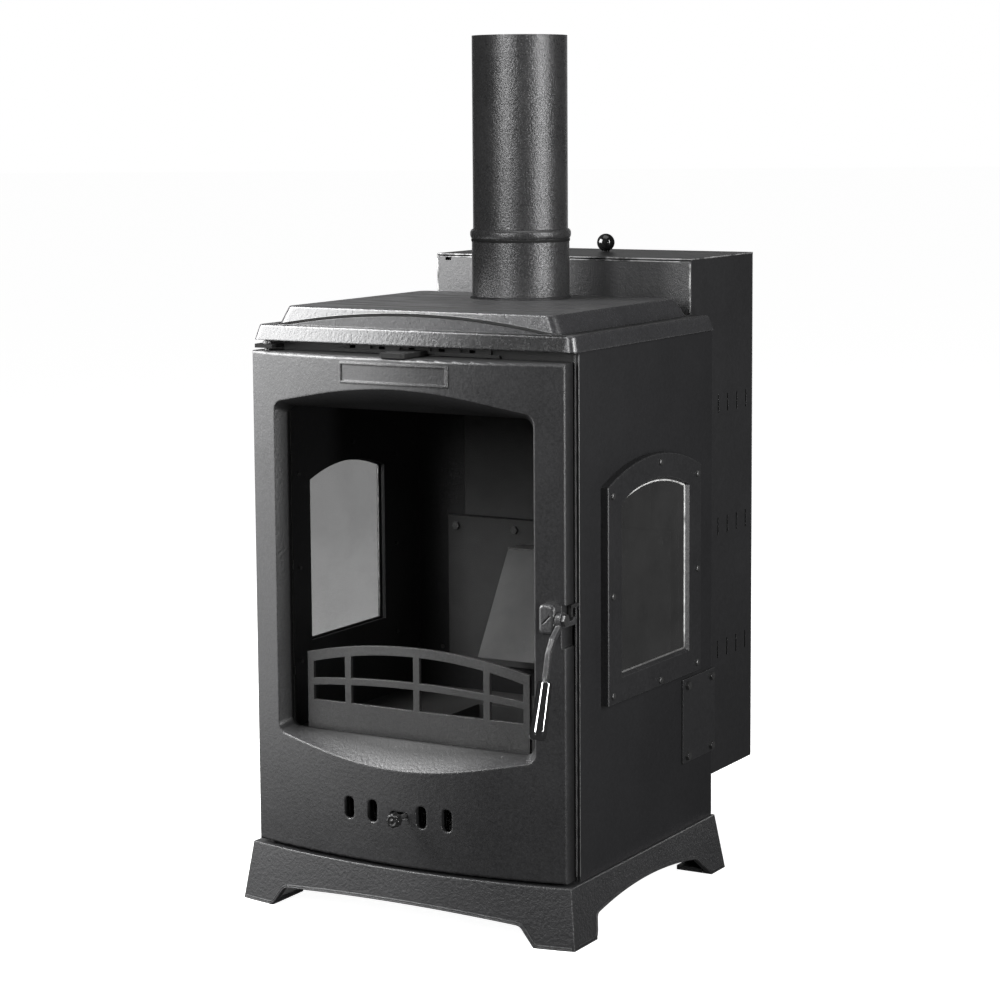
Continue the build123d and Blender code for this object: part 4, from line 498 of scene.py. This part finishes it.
def level_loop(half, front, back, height, corner, steps=12):
    """A path and its outward directions round a level rectangle with quarter-circle corners.

    A point is its corner's centre plus the radius times the cosine and sine of an angle that
    turns by a quarter at each corner.
    """
    quarter = np.linspace(0.0, 0.5 * np.pi, steps)[None, :]
    turn = (quarter + 0.5 * np.pi * np.arange(4)[:, None]).ravel()
    out = line_of(np.cos(turn), np.sin(turn), 0.0)
    sign = np.repeat([[1, 1, 0], [-1, 1, 0], [-1, -1, 0], [1, -1, 0]], steps, axis=0)
    inset = np.array((half - corner, 0.5 * (back - front) - corner, 0.0))
    return np.array((0.0, 0.5 * (front + back), height)) + sign * inset + corner * out, out


def unit_circle(count):
    """Points round a circle of radius 1, each the cosine and sine of its angle."""
    turn = np.linspace(0.0, 2.0 * np.pi, count, endpoint=False)
    return np.stack((np.cos(turn), np.sin(turn)), axis=-1)


# A thin half-round bead runs on the rim where the field's slope ends.
field_half = 0.2095
field_front = middle_y - 0.1984
field_back = middle_y + 0.1645
rim_face = 0.7535
bead_path, bead_out = level_loop(field_half, field_front, field_back, rim_face, 0.014)
bead_radius = 0.0012
bead_turn = np.linspace(0.0, np.pi, 9)
bead_round = np.stack((bead_radius * np.cos(bead_turn), bead_radius * np.sin(bead_turn) - 0.0001),
                      axis=-1)
shell("field_bead", carry(bead_path, bead_out, straight_up, bead_round), top_paint,
      "stove", ring=True)
# A near-black roll follows the top of the eyebrow step, an arc of 1115 mm radius: painted shade
# along the step's edge.
brow_black = painted_sheet("brow_black", (0.005, 0.005, 0.005), 0.6, 0.0001)
brow_arc = 1.1154
brow_half = 0.2045
brow_front = middle_y - 0.1962
brow_top = 0.7725
brow_sunk = 0.0011
brow_round = 0.0019 * unit_circle(12)
brow_x = np.linspace(-brow_half, brow_half, 160)
brow_z = brow_top - (brow_arc - np.sqrt(brow_arc ** 2 - brow_x ** 2)) - brow_sunk
brow_path = line_of(brow_x, brow_front, brow_z)
brow = shell("brow_roll", carry(brow_path, to_front, straight_up, brow_round), brow_black,
             "stove")
screen((key_high,), [brow])

# Flue.
# Two lengths of steel stove pipe over a cast collar, the upper one pushed in down to its bead.
# The pipe is sprayed grey-black with a coarse metallic grain.
pipe_finish = Finish("pipe_paint")
pipe_grain = pipe_finish.node("TexNoise", None, vector=pipe_finish.place, scale=420.0, detail=3.0,
                              roughness=0.7)
pipe_pits = pipe_finish.node("TexNoise", None, vector=pipe_finish.place, scale=170.0, detail=2.0,
                             roughness=0.5)
pipe_cloud = pipe_finish.node("TexNoise", None, vector=pipe_finish.place, scale=16.0, detail=3.0,
                              roughness=0.6)
pipe_round = pipe_finish.node("Bevel", {"samples": 3}, 0.001)
pipe_tone = 1.1 * pipe_grain + 0.4 * pipe_pits + 0.3 * pipe_cloud - 0.4
pipe_colour = pipe_finish.node("Mix", blend, pipe_tone, grey(0.03, 0.001), grey(0.15, 0.002))
pipe_rough = 0.29 + 0.16 * (pipe_grain - 0.5) + 0.1 * (pipe_cloud - 0.5)
pipe_bump = pipe_finish.node("Bump", None, height=pipe_grain + 0.5 * pipe_pits, distance=0.00055,
                             strength=1.0, normal=pipe_round)
pipe_shader = pipe_finish.node("BsdfPrincipled", None, base_color=pipe_colour, metallic=0.55,
                               roughness=pipe_rough, normal=pipe_bump)
pipe_paint = pipe_finish.done(pipe_shader)
dress(pipe_paint, "flue_pipe_lower", "flue_pipe_upper")
dress(base_paint, "flue_collar")
collar_top = 0.7772
seam_level = 0.8542
rolled_bead_level = 0.8626
pipe_out = line_of(*unit_circle(180).T, 0.0)


def pipe_ring(radius, height):
    """A level circle round the pipe's axis: the outward directions times the radius."""
    return pipe_out * radius + np.array((0.0, middle_y + pipe_setback, height))


# Cement is wiped round the pipe's foot by hand, so the ring of it wanders a little.
foot_turn = np.linspace(0.0, 2.0 * np.pi, 180, endpoint=False)
foot_wave = 0.0004 * np.sin(7.0 * foot_turn + 0.6) + 0.0003 * np.sin(17.0 * foot_turn + 2.0)
foot_path = pipe_ring(0.0652, collar_top) + foot_wave[:, None] * pipe_out
foot_bulge = np.array([(-1.0, -0.4), (2.2, -0.4), (2.1, 1.2), (1.2, 2.4), (-0.2, 3.1),
                       (-1.0, 3.1)]) / 1000.0
cement = shell("flue_cement", carry(foot_path, pipe_out, straight_up, foot_bulge), base_paint,
               "stove", ring=True)
# The upper pipe's rolled bead is full and soft, and a near-black ring under it is painted shade in
# the crease below the bead.
bead_loop = eased([(-1.5, -6.4), (0.5, -6.3), (1.7, -5.2), (2.5, -3.0), (2.8, 0.0), (2.5, 2.8),
                   (1.3, 4.9), (-0.4, 6.2), (-1.5, 6.4)], 0.5, 1) / 1000.0
bead_ring = pipe_ring(0.0645, rolled_bead_level)
bead = shell("pipe_bead", carry(bead_ring, pipe_out, straight_up, bead_loop), pipe_paint,
             "stove", ring=True)
seam_black = painted_sheet("seam_black", (0.003, 0.003, 0.003), 0.8, 0.0001)
seam_loop = np.array([(-1.0, -2.0), (0.5, -1.9), (0.8, -1.3), (0.8, 1.3), (0.5, 1.9),
                      (-1.0, 2.0)]) / 1000.0
seam_ring = pipe_ring(0.0650, seam_level)
seam = shell("pipe_seam", carry(seam_ring, pipe_out, straight_up, seam_loop), seam_black,
             "stove", ring=True)
screen(keys, [cement, bead, seam])

# Door.
# One bowed casting with a splayed opening, slots for air and a raised bare plate.
# It is painted like the rest and a little glossier. Its edges and the opening's lip are lighter
# from wear and a painted highlight, and the splay behind the lip is darker and without a mirror
# from soot and painted shade.
# The soot and painted shade on the splay start at one depth and are full at the other.
splay_shade_starts = middle_y - 0.2445
splay_shade_full = middle_y - 0.2240
door_paint = painted_iron("door_paint", (0.030, 0.030, 0.031), 0.33, 0.00023, 0.003,
                          soot=(splay_shade_starts, splay_shade_full))
dress(door_paint, "door_casting")


# Glass.
# Flat 4 mm ceramic panes, clear, with a little soot on those at the sides.
# The pane lets most light through and mirrors the rest, more so at a slant.
def pane(name, smoke, film, dust):
    """Clear glass: a see-through shader mixed with a glossy one by Schlick's reflection.

    The share that is mirrored is 0.04 plus 0.96 times the fifth power of one less the cosine of
    the angle of view, and a thin film of dust adds a little more.
    """
    finish = Finish(name)
    haze = finish.node("TexNoise", None, vector=finish.place, scale=18.0, detail=3.0,
                       roughness=0.6)
    slant = finish.node("LayerWeight", None, 0.5, result="Facing")
    mirror = 0.04 + 0.96 * slant ** 5.0
    clear = finish.node("BsdfTransparent", None, grey(smoke))
    gloss = finish.node("BsdfPrincipled", None, base_color=grey(dust),
                        roughness=0.05 + 0.05 * haze)
    share = finish.node("Math", {"operation": "ADD", "use_clamp": True}, mirror, film * haze)
    return finish.done(finish.node("MixShader", None, share, clear, gloss))


dress(pane("door_pane", 0.93, 0.02, 0.1), "door_glass")
dress(pane("side_pane", 0.55, 0.1, 0.2), "side_glass_left")
dress(pane("sooted_pane", 0.28, 0.1, 0.3), "side_glass_right")

# Seals.
# Braided glass-fibre rope in the door's groove and flat tape of the same yarn under each pane.
# It is pressed in dry, and has gone dark with use.
rope_finish = Finish("rope_yarn")
rope_twill = rope_finish.node("TexWave", {"bands_direction": "DIAGONAL"},
                              vector=rope_finish.place, scale=190.0, distortion=2.0, detail=1.0)
rope_fluff = rope_finish.node("TexNoise", None, vector=rope_finish.place, scale=700.0, detail=2.0)
rope_colour = rope_finish.node("Mix", blend, rope_twill, grey(0.03), grey(0.09))
rope_bump = rope_finish.node("Bump", None, height=rope_twill + 0.3 * rope_fluff, distance=0.0006,
                             strength=1.0)
rope_shader = rope_finish.node("BsdfPrincipled", None, base_color=rope_colour, roughness=0.9,
                               normal=rope_bump)
rope_yarn = rope_finish.done(rope_shader)
dress(rope_yarn, "door_glass_gasket", "door_rope_seal", "side_glass_gaskets")
# A thin cord of the same yarn is cemented up the body's front edges, and shows in the gap
# beside the door. Outside it a thin rod of bright half-metallic grey down the panel's corner is a
# painted highlight.
corner_finish = Finish("rubbed_corner")
corner_patch = corner_finish.node("TexNoise", None, vector=corner_finish.place, scale=60.0,
                                  detail=3.0)
corner_tone = corner_finish.node("Mix", blend, corner_patch, grey(0.06), grey(0.22))
corner_shader = corner_finish.node("BsdfPrincipled", None, base_color=corner_tone, metallic=0.5,
                                   roughness=0.35 + 0.1 * corner_patch)
rubbed_corner = corner_finish.done(corner_shader)
panel_foot, panel_head = 0.082, 0.730
cord_half, cord_front = 0.2262, middle_y - 0.1891
corner_half, corner_front = 0.2306, middle_y - 0.1876
corner_radius = 0.0008
cord_z = np.linspace(panel_foot, panel_head, 325)
cord_radius = 0.0014 + 0.0002 * np.sin(2900.0 * cord_z)
ten_points = unit_circle(10)
for side, name in sides:
    cord_path = line_of(side * cord_half, cord_front, cord_z)
    shell("edge_cord_" + name, carry(cord_path, to_right, to_back, ten_points, cord_radius),
          rope_yarn, "stove")
    highlight_path = line_of(side * corner_half, corner_front, cord_z)
    shell("panel_corner_" + name, carry(highlight_path, to_right, to_back, corner_radius * ten_points),
          rubbed_corner, "stove")

# Handle.
# A flat cast lever on a spindle in a rounded boss, with a bright turned grip.
# The grip is chromed; the lever and boss are painted iron whose edges are lighter from wear and a
# painted highlight.
handle_paint = painted_iron("handle_paint", (0.036, 0.036, 0.037), 0.22, 0.0002, 0.002)
dress(handle_paint, "handle_boss", "handle_lever")
chrome_finish = Finish("grip_chrome")
chrome_smear = chrome_finish.node("TexNoise", None, vector=chrome_finish.place, scale=120.0,
                                  detail=3.0, roughness=0.6)
chrome_tone = chrome_finish.node("Mix", blend, chrome_smear, grey(0.34, 0.01), grey(0.52, 0.01))
chrome_bump = chrome_finish.node("Bump", None, height=chrome_smear, distance=0.00003,
                                 strength=1.0)
chrome_shader = chrome_finish.node("BsdfPrincipled", None, base_color=chrome_tone, metallic=1.0,
                                   roughness=0.06 + 0.06 * chrome_smear, normal=chrome_bump)
grip_chrome = chrome_finish.done(chrome_shader)
dress(grip_chrome, "handle_grip")


def turned_piece(foot, axis, along, radius, lobes=0, depth=0.0, around=72):
    """Rings about an axis: at each distance along it a circle of the radius given there.

    With lobes the radius is multiplied by 1 + depth times the cosine of lobes times the angle.
    """
    axis = np.array(axis) / np.linalg.norm(axis)
    first = np.cross(axis, to_right)
    first /= np.linalg.norm(first)
    second = np.cross(axis, first)
    angle = np.linspace(0.0, 2.0 * np.pi, around, endpoint=False)
    reach = np.array(radius)[:, None] * (1.0 + np.array(depth) * np.cos(lobes * angle)[None, :])
    centre = np.array(foot) + np.array(along)[:, None] * axis
    return (centre[:, None, :] + (reach * np.cos(angle))[..., None] * first
            + (reach * np.sin(angle))[..., None] * second)


# The grip swells from 9 to 10.9 mm radius over its 71 mm, with a dished top and a domed foot.
# It starts 3 mm down its leaning axis.
lean = math.radians(17.0)
grip_x, grip_y, grip_z = 0.22745, middle_y - 0.2682, 0.3462
grip_start = 0.003
grip_axis = (0.0, -math.sin(lean), -math.cos(lean))
grip_top = (grip_x, grip_y - grip_start * math.sin(lean), grip_z - grip_start * math.cos(lean))
grip_side = eased([(3.2, 0.3), (3.2, 5.0), (2.6, 6.3), (1.3, 7.2), (1.0, 8.2), (1.6, 8.9),
                   (3.0, 9.1), (25.0, 9.6), (50.0, 10.5), (62.0, 10.9), (67.0, 10.8),
                   (70.0, 9.6), (71.6, 7.0), (72.0, 4.0), (72.0, 0.3)], 0.5, 2) / 1000.0
grip = shell("turned_grip", turned_piece(grip_top, grip_axis, grip_side[:, 0], grip_side[:, 1]),
             grip_chrome, "handle")
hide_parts("handle_grip")
screen(keys, [grip])

# Fixings.
# Screws, bolts, pins, washer and spindle, put into plain holes.
# They are of blackened steel, left shiny by their machining.
steel_finish = Finish("black_steel")
steel_turned = steel_finish.node("TexNoise", None, vector=steel_finish.place, scale=600.0,
                                 detail=2.0)
steel_round = steel_finish.node("Bevel", {"samples": 3}, 0.0005)
steel_colour = steel_finish.node("Mix", blend, steel_turned, grey(0.07), grey(0.17))
steel_bump = steel_finish.node("Bump", None, height=steel_turned, distance=0.00008, strength=1.0,
                               normal=steel_round)
steel_shader = steel_finish.node("BsdfPrincipled", None, base_color=steel_colour, metallic=0.8,
                                 roughness=0.3 + 0.15 * steel_turned, normal=steel_bump)
black_steel = steel_finish.done(steel_shader)
dress(black_steel, "handle_spindle", "hinge_pins", "hinge_washer", "window_screws",
      "chute_plate_bolts", "bracket_bolts", "door_glass_clips", "door_clip_screws",
      "air_slide_stud")

# Air slides.
# The lower slide's plate runs in two rails behind the door and is moved by a star knob.
# The upper slide is a strip with a tab that stands out over the door.
# The knob is turned, with eight soft lobes round it and a shallow dish in its face.
dress(handle_paint, "air_slide_knob", "air_slide_plate")
# The front frame, rails, channel, tab, hinge bracket and keeper sit in shade under the rim and
# behind the door: their near-black rough paint is painted shade.
shade_paint = painted_sheet("shade_paint", (0.008, 0.008, 0.008), 0.65, 0.00016)
dress(shade_paint, "front_frame", "air_slide_rails", "air_wash_rails", "air_wash_channel",
      "air_wash_slider", "top_hinge_bracket", "latch_keeper")
# Each row is a distance from the knob's foot and a radius in millimetres, and the lobes' depth.
knob_side = np.array([(0.0, 4.4, 0.0), (0.8, 6.6, 0.03), (1.8, 8.0, 0.08), (3.2, 8.6, 0.1),
                      (11.2, 8.6, 0.1), (12.4, 8.4, 0.09), (13.2, 7.6, 0.06), (13.5, 6.2, 0.02),
                      (13.4, 5.4, 0.0), (12.9, 4.8, 0.0), (12.9, 2.4, 0.0), (13.5, 1.8, 0.0),
                      (13.9, 1.0, 0.0), (14.0, 0.2, 0.0)])
knob_foot = (0.013, middle_y - 0.2648, 0.1455)
knob_grid = turned_piece(knob_foot, to_front, knob_side[:, 0] / 1000.0, knob_side[:, 1] / 1000.0,
                         lobes=8, depth=knob_side[:, 2:], around=96)
knob_paint = painted_iron("knob_paint", (0.014, 0.014, 0.014), 0.2, 0.0002, 0.001)
knob = shell("star_knob", knob_grid, knob_paint, "primary_air")
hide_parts("air_slide_knob")

# Side windows.
# Arched cast frames screwed over the side panels, with a bevelled inner edge.
# A pale bead in the corner between each pane and its frame is a painted highlight on the frame's
# inner edge, dimmer towards the sill.
window_paint = painted_iron("window_paint", (0.018, 0.018, 0.019), 0.42, 0.0003, 0.0012)
dress(window_paint, "window_frame_right", "window_frame_left")
sealant = Finish("sealant")
glint_bead_mottle = sealant.node("TexNoise", None, vector=sealant.place, scale=90.0, detail=3.0,
                            roughness=0.7)
glint_bead_height = sealant.node("SeparateXYZ", None, sealant.place, result="Z")
# The pale share fades towards the sill, where the painted highlight is dimmer.
glint_bead_fade = sealant.node("MapRange", None, glint_bead_height, from_min=0.3235, from_max=0.345,
                             to_min=0.12)
glint_bead_tone = sealant.node("Mix", blend, glint_bead_fade * (2.4 * glint_bead_mottle - 0.5), grey(0.06),
                            grey(0.75, -0.01))
glint_bead_shader = sealant.node("BsdfPrincipled", None, base_color=glint_bead_tone,
                              roughness=0.35 + 0.2 * glint_bead_mottle)
glint_bead_paint = sealant.done(glint_bead_shader)
# The opening is 184 mm wide. Its head falls from the crown by the square of Y over 520.6 mm.
window_half = 0.0918
window_sill = 0.3217
window_crown = 0.5537
crown_fall = 0.5206
pane_face = 0.2366
glint_bead_radius = 0.0014
crown_y = np.linspace(window_half, -window_half, 47)
crown_z = window_crown - crown_y ** 2 / crown_fall
window_loop = [(-window_half, window_sill), (window_half, window_sill), *zip(crown_y, crown_z),
               (-window_half, window_sill)]
window_y, window_z = eased(window_loop, 0.002, 1)[:-1].T
along_y, along_z = (np.roll(row, -1) - np.roll(row, 1) for row in (window_y, window_z))
window_in = unit(line_of(0.0, -along_z, along_y))
for side, name in sides:
    window_path = line_of(side * pane_face, window_y + middle_y, window_z)
    window_bead = carry(window_path, window_in, (side, 0.0, 0.0), glint_bead_radius * ten_points)
    shell("pane_bead_" + name, window_bead, glint_bead_paint, "stove", ring=True)


# Fire side.
# Bare iron and sheet, darkened by heat, with soot above and pale ash dust on level faces.
# The arched grille in front of the fire is a casting that keeps its paint.
def fired(name, iron, gloss):
    """Heat-darkened metal: soot in slow patches, and ash where the surface faces up."""
    finish = Finish(name)
    place = finish.place
    soot = finish.node("TexNoise", None, vector=place, scale=14.0, detail=4.0, roughness=0.65)
    grain = finish.node("TexNoise", None, vector=place, scale=520.0, detail=2.0, roughness=0.6)
    flat = finish.node("NewGeometry", result="Normal")
    upward = finish.node("SeparateXYZ", None, flat, result="Z")
    ash = finish.node("MapRange", None, upward, from_min=0.7, from_max=1.0, to_max=0.35)
    rounded = finish.node("Bevel", {"samples": 3}, 0.001)
    burnt = finish.node("Mix", blend, soot, shade_of(iron, 0.55), shade_of(iron, 1.3))
    colour = finish.node("Mix", blend, ash * grain, burnt, (0.22, 0.215, 0.21, 1.0))
    bumped = finish.node("Bump", None, height=grain, distance=0.0003, strength=1.0,
                         normal=rounded)
    return finish.done(finish.node("BsdfPrincipled", None, base_color=colour,
                                   roughness=gloss + 0.2 * (soot - 0.5), normal=bumped))


fire_iron = fired("fire_iron", (0.065, 0.065, 0.065), 0.75)
fire_sheet = fired("fire_sheet", (0.14, 0.14, 0.14), 0.45)
guard_iron = painted_iron("guard_iron", (0.058, 0.058, 0.058), 0.42, 0.0003, 0.0014)
dress(fire_iron, "burn_pot", "rear_liner", "chute_plate", "firebox_floor", "baffle_plate",
      "baffle_rests")
dress(fire_sheet, "ash_pan", "ash_pan_rests", "feed_chute")
dress(guard_iron, "front_retainer")
# An uneven weld joins the chute to its plate.
weld_half = 0.060
weld_y, weld_z = middle_y + 0.147, 0.4242
weld_x = np.linspace(-weld_half, weld_half, 81)
weld_radius = 0.0012 + 0.0004 * np.sin(610.0 * weld_x) + 0.0002 * np.sin(1730.0 * weld_x + 1.0)
weld_path = line_of(weld_x, weld_y, weld_z)
shell("chute_weld", carry(weld_path, to_back, straight_up, ten_points, weld_radius), fire_sheet,
      "stove")

# Hopper.
# Thin folded sheet behind the body, sprayed black, with upright slots in its sides.
# Two angle brackets bolt it to the body, and a flat lid with a ball knob lies in its cover.
# Its folded edges are lighter in patches: sheet rubbed bare, and a painted highlight along the
# folds.
hopper_half = 0.1974
hopper_black = (0.019, 0.019, 0.020)
hopper_paint = painted_sheet("hopper_paint", hopper_black, 0.45, 0.0002)
dress(hopper_paint, "hopper_front_panel", "hopper_rear_panel", "hopper_bottom_panel",
      "hopper_top_cover", "lid_ledge", "hopper_lid", "corner_brackets")
# Within the side panels' slots the paint is dead black without a mirror: painted shade.
slotted_paint = painted_sheet("slotted_paint", hopper_black, 0.45, 0.0002, skin=hopper_half)
dress(slotted_paint, "hopper_side_right", "hopper_side_left")
# The pellet bin in the hopper gets the same near-black paint: painted shade.
dress(shade_paint, "pellet_bin")
screen(keys, [nodes[name] for name in ("hopper_top_cover", "hopper_lid", "lid_ledge")])
# The hems' pale patches are bare sheet and a painted highlight along the folds.
hem_finish = Finish("rubbed_hem")
hem_patch = hem_finish.node("TexNoise", None, vector=hem_finish.place, scale=38.0, detail=4.0,
                            roughness=0.7)
hem_grain = hem_finish.node("TexNoise", None, vector=hem_finish.place, scale=700.0, detail=2.0)
bare_and_highlight = hem_finish.node("MapRange", None, hem_patch, from_min=0.4, from_max=0.58)
hem_colour = hem_finish.node("Mix", blend, bare_and_highlight, grey(0.03, 0.001), grey(0.32))
hem_bump = hem_finish.node("Bump", None, height=hem_grain, distance=0.0001, strength=1.0)
hem_shader = hem_finish.node("BsdfPrincipled", None, base_color=hem_colour,
                             roughness=0.42 - 0.1 * bare_and_highlight, normal=hem_bump)
rubbed_hem = hem_finish.done(hem_shader)
hopper_front = middle_y + 0.191
cover_back = middle_y + 0.3888 - 0.0009
cover_edge = 0.8260
hopper_foot, hopper_head = 0.115, 0.8205
fold_radius = 0.0015
hem_radius = 0.0010
hem_turn = np.linspace(-0.5 * np.pi, 0.5 * np.pi, 7)
hem_round = np.stack((hem_radius * np.cos(hem_turn) - 0.0002, hem_radius * np.sin(hem_turn)),
                     axis=-1)
hem_path, hem_out = level_loop(hopper_half, hopper_front, cover_back, cover_edge, fold_radius, 5)
shell("cover_hem", carry(hem_path, hem_out, straight_up, hem_round), rubbed_hem,
      "stove", ring=True)
panel_path = line_of(np.linspace(-0.1965, 0.182, 120), hopper_front, 0.8226)
shell("panel_hem", carry(panel_path, to_front, straight_up, 0.9 * hem_round), rubbed_hem,
      "stove")
for side, name in sides:
    corner_path = line_of(side * 0.1961, hopper_front, np.linspace(hopper_foot, hopper_head, 150))
    shell("corner_hem_" + name, carry(corner_path, to_front, to_right, hem_round * (0.6, 1.5)),
          rubbed_hem, "stove")
ball_finish = Finish("ball_gloss")
ball_dust = ball_finish.node("TexNoise", None, vector=ball_finish.place, scale=300.0, detail=2.0)
ball_colour = ball_finish.node("Mix", blend, ball_dust, deep_black, grey(0.01))
ball_bump = ball_finish.node("Bump", None, height=ball_dust, distance=0.00002, strength=1.0)
ball_shader = ball_finish.node("BsdfPrincipled", None, base_color=ball_colour,
                               roughness=0.06 + 0.06 * ball_dust, normal=ball_bump)
dress(ball_finish.done(ball_shader), "lid_knob")
